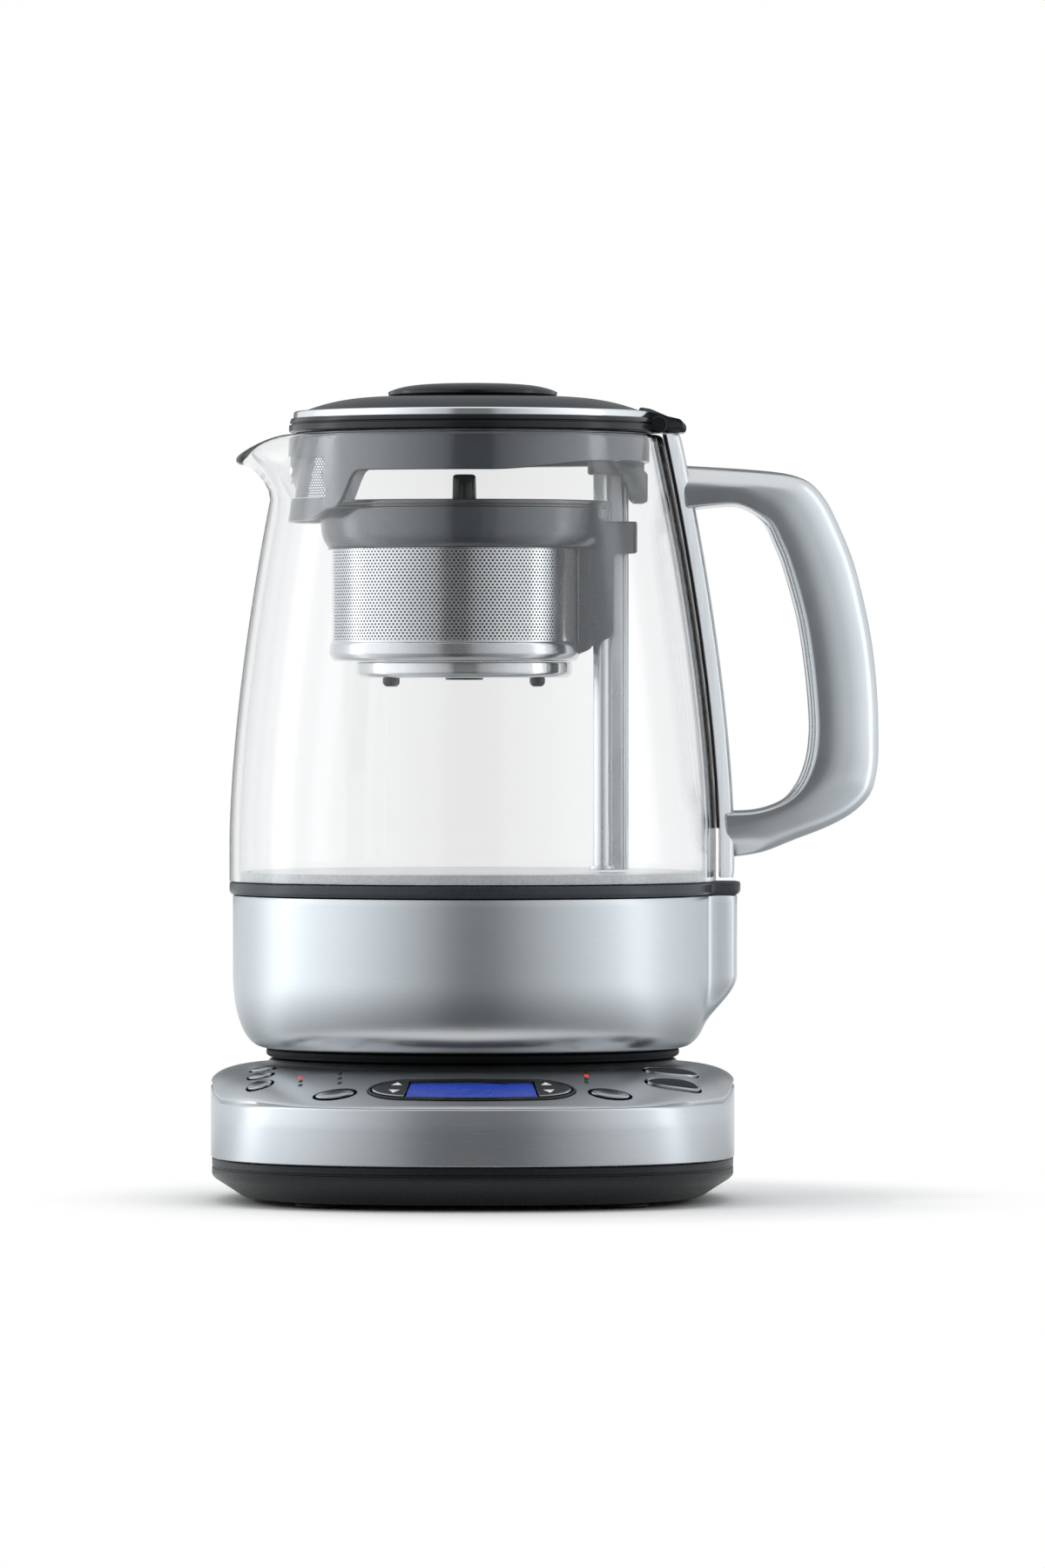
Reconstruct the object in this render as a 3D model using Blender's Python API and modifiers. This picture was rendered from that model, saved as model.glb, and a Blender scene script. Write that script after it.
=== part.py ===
# Automatic tea maker: a glass jug with a motor-driven tea basket on a powered base.
# Metres, +Z up. Work coordinates have the jug's axis at x = y = 0 and the table at z = 0;
# the handle points to +X, the spout to -X and the control panel to -Y.

import math

import bmesh
import bpy
from mathutils import Matrix, Vector

MM = 0.001
GAP = 0.3 * MM
OVERRUN = 1.0 * MM
MERGE = 0.01 * MM
ROUND_STEPS = 36
SMALL_STEPS = 12
CORNER_SHARES = ((1.0, 0.0), (0.293, 0.293), (0.0, 1.0))
PIN_STEPS = 6

# Base: tray, housing and seat
BASE_HALF = 93 * MM
BASE_POWER = 2.5
BASE_STEPS = 44
FOOT_RADIUS = 8 * MM
FOOT_PAD = 1.7 * MM
FOOT_MARGIN = 3.088 * MM
TRAY_BOTTOM = 2 * MM
TRAY_TOP = 15.7 * MM
TRAY_INSET = 0.4 * MM
TRAY_CHAMFER_WIDE = 11 * MM
TRAY_CHAMFER_HIGH = 7.4 * MM
TRAY_WALL = 2.4 * MM
TRAY_FLOOR = 3 * MM
HOUSING_WALL = 1.2 * MM
HOUSING_BOTTOM = 16 * MM
CREASE_FRONT = 36.6 * MM
CREASE_BACK = 42 * MM
CREASE_RISE_FROM = 40 * MM
CREASE_RISE_TO = 16 * MM
SEAT_HEIGHT = 50.5 * MM
PANEL_WIDE = 18 * MM
RING_RADIUS = BASE_HALF - PANEL_WIDE
SEAT_STEP = 3 * MM
SEAT_RADIUS = RING_RADIUS - SEAT_STEP
RING_HEIGHT = 48.5 * MM
PANEL_FLAT_ANGLE = math.radians(30)
PANEL_ROUND_ANGLE = math.radians(70)
PANEL_SHARES = (0.0, 0.35, 0.65, 0.88, 1.0)
BASE_ANGLES = [math.tau * i / BASE_STEPS for i in range(BASE_STEPS)]
PROBE = 0.2 * MM

# Cordless connector
WELL_RADIUS = 24 * MM
WELL_DEPTH = 5 * MM
CONNECTOR_WALL = 1.6 * MM
PIN_RADIUS = 4 * MM
PIN_TOP = 57 * MM
SHUTTER_RADIUS = 11 * MM
SHUTTER_TOP = 56 * MM
SOCKET_RADIUS = 20 * MM
SOCKET_TOP = 62 * MM
SOCKET_ROOF = 2 * MM
SOCKET_FLANGE = 4 * MM
TOWER_WALL = 2.4 * MM

# Screws and boards inside the base
SCREW_CLEAR = 5.946 * MM
SCREW_HEAD_RADIUS = 3.3 * MM
SCREW_HEAD_HIGH = 1.2 * MM
SCREW_SHANK_RADIUS = 1.5 * MM
SCREW_LENGTH = 11 * MM
BOSS_RADIUS = 3.6 * MM
BOARD_THICK = 1.6 * MM
BOARD_TOP = 29 * MM
BOARD_UNDER_RING = 4 * MM
BOARD_INNER = RING_RADIUS - BOARD_UNDER_RING
BOARD_HALF_LONG = 106 * MM
BOARD_POST_RADIUS = 3 * MM
SWITCH_RADIUS = 2 * MM
BOARD_CLEAR = 1 * MM
BOARD_STEPS = 20
BOARD_POST_SHARES = (-0.93, -0.4, 0.4, 0.93)
POST_SHARE = 0.44
CORNER_NAMES = ("front_left", "rear_left", "front_right", "rear_right")
POWER_BOARD_WIDE = 62 * MM
POWER_BOARD_FRONT = 11 * MM
POWER_BOARD_REAR = 18 * MM
POWER_BOARD_Z = 12 * MM
RELAY_SIZE = 15 * MM
RELAY_HIGH = 16 * MM
COIL_SIZE = 20 * MM
COIL_HIGH = 18 * MM
INLET_RADIUS = 4.4 * MM
INLET_BORE = 3.2 * MM
INLET_LENGTH = 11 * MM
INLET_HEIGHT = 10.4 * MM

# Display and its two rockers, sizes along and up the panel
DISPLAY_SHARE = 0.52
PANEL_MIDDLE = RING_RADIUS + DISPLAY_SHARE * PANEL_WIDE
FRAME_HALF_LONG = 36.2 * MM
FRAME_HALF_HIGH = 6.3 * MM
FRAME_WALL = 1.1 * MM
FRAME_DEPTH = 4.6 * MM
FRAME_PROUD = 0.5 * MM
LENS_HALF_LONG = 22 * MM
LENS_THICK = 1.4 * MM
LENS_PROUD = 0.3 * MM
LCD_THICK = 2.4 * MM
END_LONG = 13 * MM
END_SHARES = (0.0, 0.26, 0.5, 0.71, 0.87, 0.95, 0.99)
STRAIGHT_SHARES = (0.0, 0.34, 0.67)
LENS_SHARES = (-1.0, -0.67, -0.34, 0.0, 0.34, 0.67, 1.0)
ROCKER_PROUD = 0.9 * MM
ROCKER_DEPTH = 2.2 * MM
RUNNING_GAP = 0.4 * MM

# Push buttons: place along and up the panel from the display's middle, half sizes and turn
BUTTON_PROUD = 1.3 * MM
BUTTON_CROWN = 0.7 * MM
BUTTON_CROWN_IN = 1.2 * MM
BUTTON_PLAY = 0.9 * MM
CUT_REACH = 4 * MM
BUTTON_FLANGE = 0.8 * MM
BUTTON_FLANGE_THICK = 1 * MM
BUTTON_STEM_RADIUS = 1.6 * MM
BUTTON_STEM_LENGTH = 3.4 * MM
BUTTON_TRAVEL = 1 * MM
SMALL_BUTTON = (5.2 * MM, 3.3 * MM)
ROUND_BUTTON = (7.4 * MM, 3.4 * MM)
LARGE_BUTTON = (10.8 * MM, 4.3 * MM)
PRESET_LEAN = math.radians(31.427)
LARGE_LEAN = math.radians(27.06)
PRESET_REAR_AT = (-93.951 * MM, 5.209 * MM)
PRESET_MIDDLE_AT = (-86.026 * MM, 0.087 * MM)
PRESET_FRONT_AT = (-78.702 * MM, -5.356 * MM)
TEA_TYPE_AT = (-46.562 * MM, -4.046 * MM)
STRENGTH_AT = (47.232 * MM, -3.971 * MM)
CYCLE_AT = (84.094 * MM, 4.932 * MM)
START_AT = (75.097 * MM, -3.217 * MM)
PRESET_TURN = PRESET_MIDDLE_AT[0] / PANEL_MIDDLE + PRESET_LEAN
LARGE_TURN = (CYCLE_AT[0] + START_AT[0]) / 2 / PANEL_MIDDLE - LARGE_LEAN

# Indicator lights: centre of each column, along and up the panel
LIGHT_RADIUS = 0.7 * MM
LIGHT_PITCH = 3.4 * MM
LIGHT_RIGHT_PITCH = 2.2 * MM
LIGHT_BAR_THICK = 1.4 * MM
LIGHT_BAR_DEPTH = 3.9 * MM
LIGHT_BAR_MARGIN = 0.8 * MM
LIGHT_LEFT_OUTER_AT = (-65.282 * MM, 2.356 * MM)
LIGHT_LEFT_INNER_AT = (-51.196 * MM, 7.373 * MM)
LIGHT_RIGHT_AT = (44.426 * MM, 8.381 * MM)

# Jug: steel cup, foot, band and floor
CUP_RADIUS = 85.3 * MM
CUP_TOP = 108.5 * MM
CUP_WALL = 1 * MM
CUP_BOTTOM = 54.3 * MM
CUP_BOTTOM_INSET = 0.9 * MM
CUP_CURVE_TOP = 80 * MM
CUP_CURVE_STEPS = 4
BULGE_REACH = 94 * MM
BULGE_FLAT_ANGLE = math.radians(8)
BULGE_END_ANGLE = math.radians(12.5)
JUG_ANGLES = sorted({math.tau * i / ROUND_STEPS for i in range(ROUND_STEPS)} | {
    side * BULGE_END_ANGLE * share % math.tau for side in (-1, 1) for share in (0.4, 0.82, 1.0)})
BULGE_FADE_TOP = 80 * MM
BULGE_FADE_BOTTOM = 62 * MM
JUG_FOOT_OVERHANG = 1.4 * MM
JUG_FOOT_WIDE = 9.4 * MM
JUG_FOOT_RADIUS = SEAT_RADIUS + JUG_FOOT_OVERHANG
JUG_FOOT_INNER = JUG_FOOT_RADIUS - JUG_FOOT_WIDE
CUP_BOTTOM_RADIUS = JUG_FOOT_RADIUS - CUP_BOTTOM_INSET
JUG_FOOT_CORNER = 0.6 * MM
BAND_TOP = 113.2 * MM
BAND_BOTTOM = 108.8 * MM
BAND_RADIUS = 86.5 * MM
BAND_INNER = 74 * MM
BAND_REACH = 95.2 * MM
FLOOR_TOP = 117 * MM
FLOOR_THICK = 1.5 * MM
SEAL_THICK = 2.4 * MM

# Jug: glass body with its spout
GLASS_WALL = 3.6 * MM
GLASS_TOP = 272 * MM
GLASS_TOP_RADIUS = 67.3 * MM
GLASS_BOTTOM_RADIUS = 86.5 * MM
GLASS_WAIST_HEIGHT = 127 * MM
GLASS_CURVE = 1.62
SPOUT_START = 252 * MM
SPOUT_REACH = 83.7 * MM
SPOUT_DROP = 11 * MM
SPOUT_HALF_ANGLE = math.radians(27)
SPOUT_RINGS = 3
GLASS_RINGS = 5
GLASS_STEPS = 40

# Heater, motor and probe under the floor
ELEMENT_RADIUS = 44 * MM
ELEMENT_TUBE = 4 * MM
ELEMENT_SPAN = math.radians(300)
ELEMENT_TAIL = 14 * MM
ELEMENT_POINTS = 18
PROBE_RADIUS = 6 * MM
PROBE_HIGH = 9 * MM
MOTOR_RADIUS = 12 * MM
MOTOR_HIGH = 26 * MM

# Post, lead screw and magnet carriage
POST_LEFT = 42.8 * MM
POST_RIGHT = 55.5 * MM
POST_HALF_DEEP = 5 * MM
POST_WALL = 0.8 * MM
POST_TOP = 261 * MM
SCREW_X = 46.8 * MM
LEAD_RADIUS = 1.5 * MM
LEAD_TOP = 258.5 * MM
LEAD_DISC_RADIUS = 2.6 * MM
LEAD_COLLAR = 2 * MM
POST_CLEAR = 0.5 * MM
CARRIAGE_HIGH = 24 * MM

# Tea basket
BASKET_X = -3 * MM
DRUM_SHIFT = -3.3 * MM
BASKET_TRAVEL = 58 * MM
RIM_RADIUS = 52 * MM
RIM_TOP = 248 * MM
RIM_BOTTOM = 231 * MM
RIM_LIP = 1.6 * MM
DRUM_RADIUS = 43.8 * MM
DRUM_WALL = 0.8 * MM
DRUM_TOP = 246 * MM
DRUM_FLARE = 0.9 * MM
DRUM_BAND_TOP = 198.5 * MM
DRUM_BOTTOM = 191.3 * MM
BASKET_FOOT_RING = 38.5 * MM
BASKET_FOOT_WALL = 2.2 * MM
BASKET_FOOT_TOP = 191 * MM
BASKET_FOOT_BOTTOM = 185.4 * MM
BASKET_NUB_RADIUS = 2.6 * MM
BASKET_NUB_BOTTOM = 182.3 * MM
BASKET_NUBS = 4
BRACKET_LEFT = 38 * MM
BRACKET_HALF_DEEP = 9 * MM
BRACKET_BOTTOM = 193.4 * MM
BRACKET_SLANT = 7 * MM
COLLAR_RIGHT = 58.3 * MM
COLLAR_HALF_DEEP = 8 * MM
COLLAR_TOP = 240.9 * MM
COLLAR_BOTTOM = 229.4 * MM
BASKET_LID_TOP = 247.6 * MM
BASKET_LID_THICK = 1.2 * MM
BASKET_KNOB_RADIUS = 4.3 * MM
BASKET_KNOB_TOP = 257.6 * MM

# Handle column, gasket, arch and grip
COLUMN_THICK = 6.4 * MM
COLUMN_HALF = 12 * MM
COLUMN_CORNER = 2.4 * MM
COLUMN_BOTTOM = 114.7 * MM
COLUMN_SECTIONS = 9
GASKET_GAP = 0.25 * MM
GASKET_THICK = 0.7 * MM
GASKET_HALF = 9 * MM
ARCH_LEFT = 79 * MM
ARCH_REACH = 144.2 * MM
ARCH_LOW = 121.6 * MM
ARCH_HIGH = 261 * MM
ARCH_HALF = 11.5 * MM
ARCH_ROUND = 3.2 * MM
ARCH_OUTER_SHARES = (
    (0.0, 1.0), (0.25, 0.991), (0.44, 0.983), (0.54, 0.974), (0.63, 0.955), (0.715, 0.91),
    (0.79, 0.84), (0.87, 0.745), (0.94, 0.611), (0.975, 0.511), (0.994, 0.411), (1.0, 0.32),
    (0.997, 0.24), (0.972, 0.178), (0.925, 0.142), (0.84, 0.108), (0.715, 0.077),
    (0.534, 0.044), (0.36, 0.013), (0.23, 0.0),
)
ARCH_INNER_SHARES = (
    (0.08, 0.885), (0.16, 0.895), (0.25, 0.892), (0.33, 0.873), (0.395, 0.846), (0.44, 0.8),
    (0.487, 0.745), (0.566, 0.611), (0.61, 0.478), (0.632, 0.36), (0.628, 0.29), (0.605, 0.235),
    (0.56, 0.186), (0.49, 0.152), (0.4, 0.132), (0.3, 0.122), (0.24, 0.12),
)
ARCH_END_RUN = 5 * MM
GRIP_FIRST = 3
GRIP_LAST = 13
GRIP_THICK = 2.6 * MM
GRIP_HALF = 8 * MM
HANDLE_SCREW_UPPER = 253 * MM
HANDLE_SCREW_LOWER = 130.5 * MM
HANDLE_SCREW_RADIUS = 1.6 * MM
HANDLE_SCREW_HEAD = 2.8 * MM
HANDLE_SCREW_HEAD_THICK = 1.4 * MM
HANDLE_SCREW_BITE_SHARE = 0.1166

# Jug lid
LID_REST = 272.4 * MM
LID_EDGE_RADIUS = 65.3 * MM
LID_EDGE_TOP = 278.6 * MM
LID_EDGE_LIP = 1.2 * MM
LID_LEDGE_TOP = 277.1 * MM
LID_LEDGE_RADIUS = 57 * MM
TRIM_WIDE = 2.1 * MM
TRIM_TOP = 279.7 * MM
DOME_TOP = 285.2 * MM
DOME_FLAT = 30 * MM
DOME_EDGE_TOP = 279.6 * MM
DOME_WALL = 2 * MM
DOME_POWER = 2.4
DOME_STEPS = 4
KNOB_RADIUS = 30 * MM
KNOB_TOP = 290.2 * MM
KNOB_EDGE = 1.6 * MM
KNOB_POWER = 2.2
KNOB_SHARES = (0.0, 0.4, 0.7, 0.9, 1.0)
TONGUE_LEFT = 59 * MM
TONGUE_RIGHT = 75.8 * MM
TONGUE_HIGH = 281.5 * MM
TONGUE_LOW = 275 * MM
TONGUE_HALF = 12 * MM
TONGUE_STEP = 0.6 * MM
SKIRT_RADIUS = 62 * MM
SKIRT_WALL = 1.8 * MM
SKIRT_BOTTOM = 258 * MM
FLAP_BOTTOM = 241 * MM
FLAP_OUT = 3 * MM
FLAP_NARROW = math.radians(36)
FLAP_WIDE = math.radians(54)
SKIRT_SHARES = (0.0, 0.35, 0.6, 0.8, 1.0)
WINDOW_SHARES = (-1.0, -0.6, -0.2, 0.2, 0.6, 1.0)
WINDOW_REACH = 5 * MM
WINDOW_TOP = 263 * MM
WINDOW_BOTTOM = 248.7 * MM
WINDOW_HALF_ANGLE = math.radians(36)
FILTER_THICK = 0.6 * MM
BLOCK_LEFT = 40.3 * MM
BLOCK_CHEEK_LEFT = 52.4 * MM
BLOCK_CHEEK_HALF = 8.5 * MM
LIFT_CLEAR = 0.6 * MM
BLOCK_BOTTOM = 247 * MM
BLOCK_STEP = 257 * MM
BLOCK_HALF = 9.5 * MM

# Root empty: the part's own origin is under the middle of the whole outline.
ORIGIN = Vector(((BASE_HALF - ARCH_REACH) / 2, 0, 0))
COLOURS = {
    "brushed_steel": ((0.62, 0.63, 0.64, 1), 0.34, 1.0),
    "polished_steel": ((0.72, 0.73, 0.74, 1), 0.16, 1.0),
    "satin_alloy": ((0.55, 0.56, 0.57, 1), 0.4, 1.0),
    "black_plastic": ((0.02, 0.022, 0.025, 1), 0.35, 0.0),
    "slate_plastic": ((0.09, 0.11, 0.13, 1), 0.32, 0.0),
    "smoke_plastic": ((0.2, 0.23, 0.26, 1), 0.3, 0.0),
    "rubber": ((0.03, 0.03, 0.03, 1), 0.8, 0.0),
    "silicone": ((0.35, 0.36, 0.37, 1), 0.6, 0.0),
    "glass": ((0.93, 0.95, 0.96, 1), 0.03, 0.0),
    "screen": ((0.03, 0.07, 0.5, 1), 0.15, 0.0),
    "board": ((0.03, 0.2, 0.08, 1), 0.5, 0.0),
    "light_pipe": ((0.8, 0.1, 0.08, 1), 0.3, 0.0),
    "grip": ((0.3, 0.31, 0.33, 1), 0.55, 0.0),
}


def clear_scene():
    for old in list(bpy.data.objects):
        bpy.data.objects.remove(old, do_unlink=True)


def new_collection(name):
    made = bpy.data.collections.new(name)
    bpy.context.scene.collection.children.link(made)
    return made


def material(look):
    made = bpy.data.materials.get(look)
    if made is None:
        made = bpy.data.materials.new(look)
        made.use_nodes = True
        shader = made.node_tree.nodes["Principled BSDF"]
        colour, roughness, metallic = COLOURS[look]
        shader.inputs["Base Color"].default_value = colour
        shader.inputs["Roughness"].default_value = roughness
        shader.inputs["Metallic"].default_value = metallic
        if look == "glass":
            shader.inputs["Transmission Weight"].default_value = 1.0
    return made


clear_scene()
PARTS = new_collection("tea_maker")
CUTTERS = new_collection("cutters")
BODY_AT = {}
BODY_EMPTY = {}


def add_body(name, parent=None, at=(0, 0, 0)):
    """An empty on the joint's axis that carries the objects of one moving body."""
    empty = bpy.data.objects.new(name + "_body", None)
    PARTS.objects.link(empty)
    BODY_AT[name] = Vector(at)
    BODY_EMPTY[name] = empty
    if parent:
        empty.parent = BODY_EMPTY[parent]
        empty.location = BODY_AT[name] - BODY_AT[parent]
    else:
        empty.location = ORIGIN + BODY_AT[name]


def put(obj, body, look, at=(0, 0, 0)):
    """Link an object whose mesh is drawn about the point at, and hang it on its body."""
    PARTS.objects.link(obj)
    obj.parent = BODY_EMPTY[body]
    obj.location = Vector(at) - BODY_AT[body]
    obj.data.materials.append(material(look))
    return obj


def smooth(mesh):
    mesh.shade_smooth()
    mesh.set_sharp_from_angle(angle=math.radians(35))


def mesh_object(name, verts, faces):
    mesh = bpy.data.meshes.new(name)
    mesh.from_pydata([tuple(v) for v in verts], [], faces)
    mesh.update()
    smooth(mesh)
    return bpy.data.objects.new(name, mesh)


def turned(name, profile, steps=ROUND_STEPS, closed=False):
    """A Screw of a profile of (radius, height) points, run down the outer side."""
    edges = [(i, i + 1) for i in range(len(profile) - 1)]
    if closed:
        edges.append((len(profile) - 1, 0))
    mesh = bpy.data.meshes.new(name)
    mesh.from_pydata([(r, 0, z) for r, z in profile], edges, [])
    obj = bpy.data.objects.new(name, mesh)
    screw = obj.modifiers.new("turn", "SCREW")
    screw.angle = math.tau
    screw.steps = steps
    screw.render_steps = steps
    screw.use_merge_vertices = True
    screw.merge_threshold = MERGE
    screw.use_smooth_shade = False
    return obj


def face_out(mesh):
    work = bmesh.new()
    work.from_mesh(mesh)
    bmesh.ops.recalc_face_normals(work, faces=work.faces)
    work.to_mesh(mesh)
    work.free()


def loft(name, rings, closed=False, caps=True):
    """Join rings of points with quads; capped ends, or closed end to end."""
    count = len(rings[0])
    verts = [v for ring in rings for v in ring]
    faces = []
    last = len(rings) if closed else len(rings) - 1
    for i in range(last):
        low, high = i * count, (i + 1) % len(rings) * count
        for j in range(count):
            k = (j + 1) % count
            faces.append((low + j, high + j, high + k, low + k))
    if caps and not closed:
        faces.append(tuple(range(count)))
        faces.append(tuple(reversed(range(len(verts) - count, len(verts)))))
    obj = mesh_object(name, verts, faces)
    if caps or closed:
        face_out(obj.data)
    return obj


def solidify(obj, thickness):
    wall = obj.modifiers.new("wall", "SOLIDIFY")
    wall.thickness = thickness
    wall.offset = -1
    wall.use_even_offset = True
    return obj


def block(name, low, high):
    """A box from its low to its high corner."""
    low, high = Vector(low), Vector(high)
    mesh = bpy.data.meshes.new(name)
    work = bmesh.new()
    bmesh.ops.create_cube(work, size=1)
    size = high - low
    bmesh.ops.transform(
        work, matrix=Matrix.Translation((low + high) / 2) @ Matrix.Diagonal((*size, 1)),
        verts=work.verts)
    work.to_mesh(mesh)
    work.free()
    return bpy.data.objects.new(name, mesh)


def rod(name, start, end, radius, steps=SMALL_STEPS, end_radius=None):
    """A cylinder, or a cone, between two points."""
    start, end = Vector(start), Vector(end)
    mesh = bpy.data.meshes.new(name)
    work = bmesh.new()
    way = end - start
    bmesh.ops.create_cone(
        work, cap_ends=True, segments=steps, radius1=radius,
        radius2=radius if end_radius is None else end_radius, depth=way.length)
    turn = way.to_track_quat("Z", "Y").to_matrix().to_4x4()
    bmesh.ops.transform(
        work, matrix=Matrix.Translation((start + end) / 2) @ turn, verts=work.verts)
    work.to_mesh(mesh)
    work.free()
    smooth(mesh)
    return bpy.data.objects.new(name, mesh)


def cut(target, tool, operation="DIFFERENCE"):
    """Cut a tool from the target, or join it; the tool moves with the target."""
    CUTTERS.objects.link(tool)
    tool.parent = target
    tool.hide_render = True
    tool.display_type = "WIRE"
    change = target.modifiers.new(tool.name, "BOOLEAN")
    change.operation = operation
    change.object = tool
    change.solver = "EXACT"
    return target


def join(target, tool):
    return cut(target, tool, "UNION")


def group(name, objects):
    """Several separate solids in one mesh, for one Boolean."""
    work = bmesh.new()
    for obj in objects:
        work.from_mesh(obj.data)
        bpy.data.objects.remove(obj, do_unlink=True)
    mesh = bpy.data.meshes.new(name)
    work.to_mesh(mesh)
    work.free()
    return bpy.data.objects.new(name, mesh)


def blend(value, low, high):
    """0 below low, 1 above high, and a smooth step between."""
    share = min(max((value - low) / (high - low), 0), 1)
    return share * share * (3 - 2 * share)


def box_section(inner, outer, low, high, corner=0):
    """A closed ring section, run down its outer side."""
    if corner:
        return [(outer, high - corner), (outer, low + corner), (outer - corner, low),
                (inner, low), (inner, high), (outer - corner, high)]
    return [(outer, high), (outer, low), (inner, low), (inner, high)]


def base_reach(angle, half):
    """Radius of the base's rounded-square outline at an angle."""
    across, along = abs(math.cos(angle)), abs(math.sin(angle))
    return half / (across ** BASE_POWER + along ** BASE_POWER) ** (1 / BASE_POWER)


def crease_height(angle):
    y = base_reach(angle, BASE_HALF) * math.sin(angle)
    rise = blend(y, -CREASE_RISE_FROM, -CREASE_RISE_TO)
    return CREASE_FRONT + (CREASE_BACK - CREASE_FRONT) * rise


def panel_drop(angle, share):
    """Height of the top surface between the seat ring (0) and the crease (1)."""
    from_front = math.acos(max(-1, min(1, -math.sin(angle))))
    roundness = blend(from_front, PANEL_FLAT_ANGLE, PANEL_ROUND_ANGLE)
    fall = (1 - roundness) * share + roundness * (1 - math.sqrt(max(0, 1 - share * share)))
    return RING_HEIGHT - (RING_HEIGHT - crease_height(angle)) * fall


def panel_height(x, y):
    angle = math.atan2(y, x)
    reach = base_reach(angle, BASE_HALF)
    share = (math.hypot(x, y) - RING_RADIUS) / (reach - RING_RADIUS)
    return panel_drop(angle, min(max(share, 0), 1))


def panel_normal(x, y):
    slope_x = (panel_height(x + PROBE, y) - panel_height(x - PROBE, y)) / (2 * PROBE)
    slope_y = (panel_height(x, y + PROBE) - panel_height(x, y - PROBE)) / (2 * PROBE)
    return Vector((-slope_x, -slope_y, 1)).normalized()


def on_panel(plan, lift):
    """The point at a lift above the panel's surface, square to it."""
    x, y = plan
    return Vector((x, y, panel_height(x, y))) + panel_normal(x, y) * lift


def display_plan(along, up):
    """Plan point at a distance along and up the panel from the display's middle."""
    angle = -math.pi / 2 + along / PANEL_MIDDLE
    wide = base_reach(angle, BASE_HALF) - RING_RADIUS
    slope = math.hypot(wide, RING_HEIGHT - crease_height(angle))
    reach = RING_RADIUS + (DISPLAY_SHARE - up / slope) * wide
    return reach * math.cos(angle), reach * math.sin(angle)


def end_half(along, half_long, half_high):
    """Half height of the display's tapered outline at a distance along it."""
    into = abs(along) - (half_long - END_LONG)
    if into <= 0:
        return half_high
    return half_high * math.sqrt(max(0, 1 - (into / END_LONG) ** 2))


def end_stations(start, half_long):
    """Distances along the display from start to just short of its end."""
    straight = half_long - END_LONG
    stations = [start] if start < straight else []
    return stations + [max(start, straight) + (half_long - max(start, straight)) * share
                       for share in END_SHARES]


def strip(name, stations, half_at, low, high):
    """A solid that follows the panel along the display, given its half height."""
    rings = []
    for along in stations:
        half = half_at(along)
        corners = ((half, high), (half, low), (-half, low), (-half, high))
        rings.append([on_panel(display_plan(along, up), lift) for up, lift in corners])
    return loft(name, rings)


def display_loop(grow, lift):
    """Closed outline of the display frame, as points on the panel."""
    half_long, half_high = FRAME_HALF_LONG + grow, FRAME_HALF_HIGH + grow
    right = end_stations(0, half_long)
    top = [(along, end_half(along, half_long, half_high)) for along in right]
    straight = [(s * (half_long - END_LONG), half_high) for s in STRAIGHT_SHARES]
    quarter = straight + [point for point in top if point[0] > straight[-1][0]]
    tip = [(half_long, 0)]
    loop = [(a, -h) for a, h in quarter] + tip + [(a, h) for a, h in reversed(quarter)]
    loop += [(-a, h) for a, h in quarter[1:]] + [(-half_long, 0)]
    loop += [(-a, -h) for a, h in reversed(quarter[1:])]
    return [on_panel(display_plan(a, h), lift) for a, h in loop]


def oval(centre, half, turn, grow=0, steps=14):
    points = []
    for i in range(steps):
        t = math.tau * i / steps
        x, y = (half[0] + grow) * math.cos(t), (half[1] + grow) * math.sin(t)
        points.append((centre[0] + x * math.cos(turn) - y * math.sin(turn),
                       centre[1] + x * math.sin(turn) + y * math.cos(turn)))
    return points


def plug(name, outline, levels):
    """A solid square to the panel: levels of (growth, lift), top to bottom."""
    return loft(name, [[on_panel(p, lift) for p in outline(grow)] for grow, lift in levels])


BUTTONS = (
    ("preset_button_rear", PRESET_REAR_AT, SMALL_BUTTON, PRESET_TURN),
    ("preset_button_middle", PRESET_MIDDLE_AT, SMALL_BUTTON, PRESET_TURN),
    ("preset_button_front", PRESET_FRONT_AT, SMALL_BUTTON, PRESET_TURN),
    ("tea_type_button", TEA_TYPE_AT, ROUND_BUTTON, 0),
    ("strength_button", STRENGTH_AT, ROUND_BUTTON, 0),
    ("basket_cycle_button", CYCLE_AT, LARGE_BUTTON, LARGE_TURN),
    ("start_button", START_AT, LARGE_BUTTON, LARGE_TURN),
)
LIGHTS = (
    ("indicator_light_left", (LIGHT_LEFT_OUTER_AT, LIGHT_LEFT_INNER_AT), LIGHT_PITCH, 3),
    ("indicator_light_right", (LIGHT_RIGHT_AT,), LIGHT_RIGHT_PITCH, 4),
)


def light_places(columns, pitch, count):
    """Plan places of the lights, in straight columns from front to back."""
    return [(x, y + pitch * (i - (count - 1) / 2))
            for x, y in (display_plan(*column) for column in columns) for i in range(count)]


def base_rings(levels):
    """Rings of the base's outline at levels of (half width, height)."""
    rings = []
    for half, height in levels:
        ring = []
        for i in range(BASE_STEPS):
            angle = math.tau * i / BASE_STEPS
            reach = base_reach(angle, half)
            ring.append((reach * math.cos(angle), reach * math.sin(angle), height))
        rings.append(ring)
    return rings


def foot_radius():
    """Distance of each foot from the base's middle, inside the tray's flat corner."""
    flat = base_reach(math.pi / 4, BASE_HALF - TRAY_INSET - TRAY_CHAMFER_WIDE)
    return flat - FOOT_RADIUS - FOOT_MARGIN


def corners_at(radius):
    """Four places on the diagonals, at a distance from the middle."""
    half = radius * math.sqrt(1 / 2)
    return [(x, y) for x in (-half, half) for y in (-half, half)]


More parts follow.
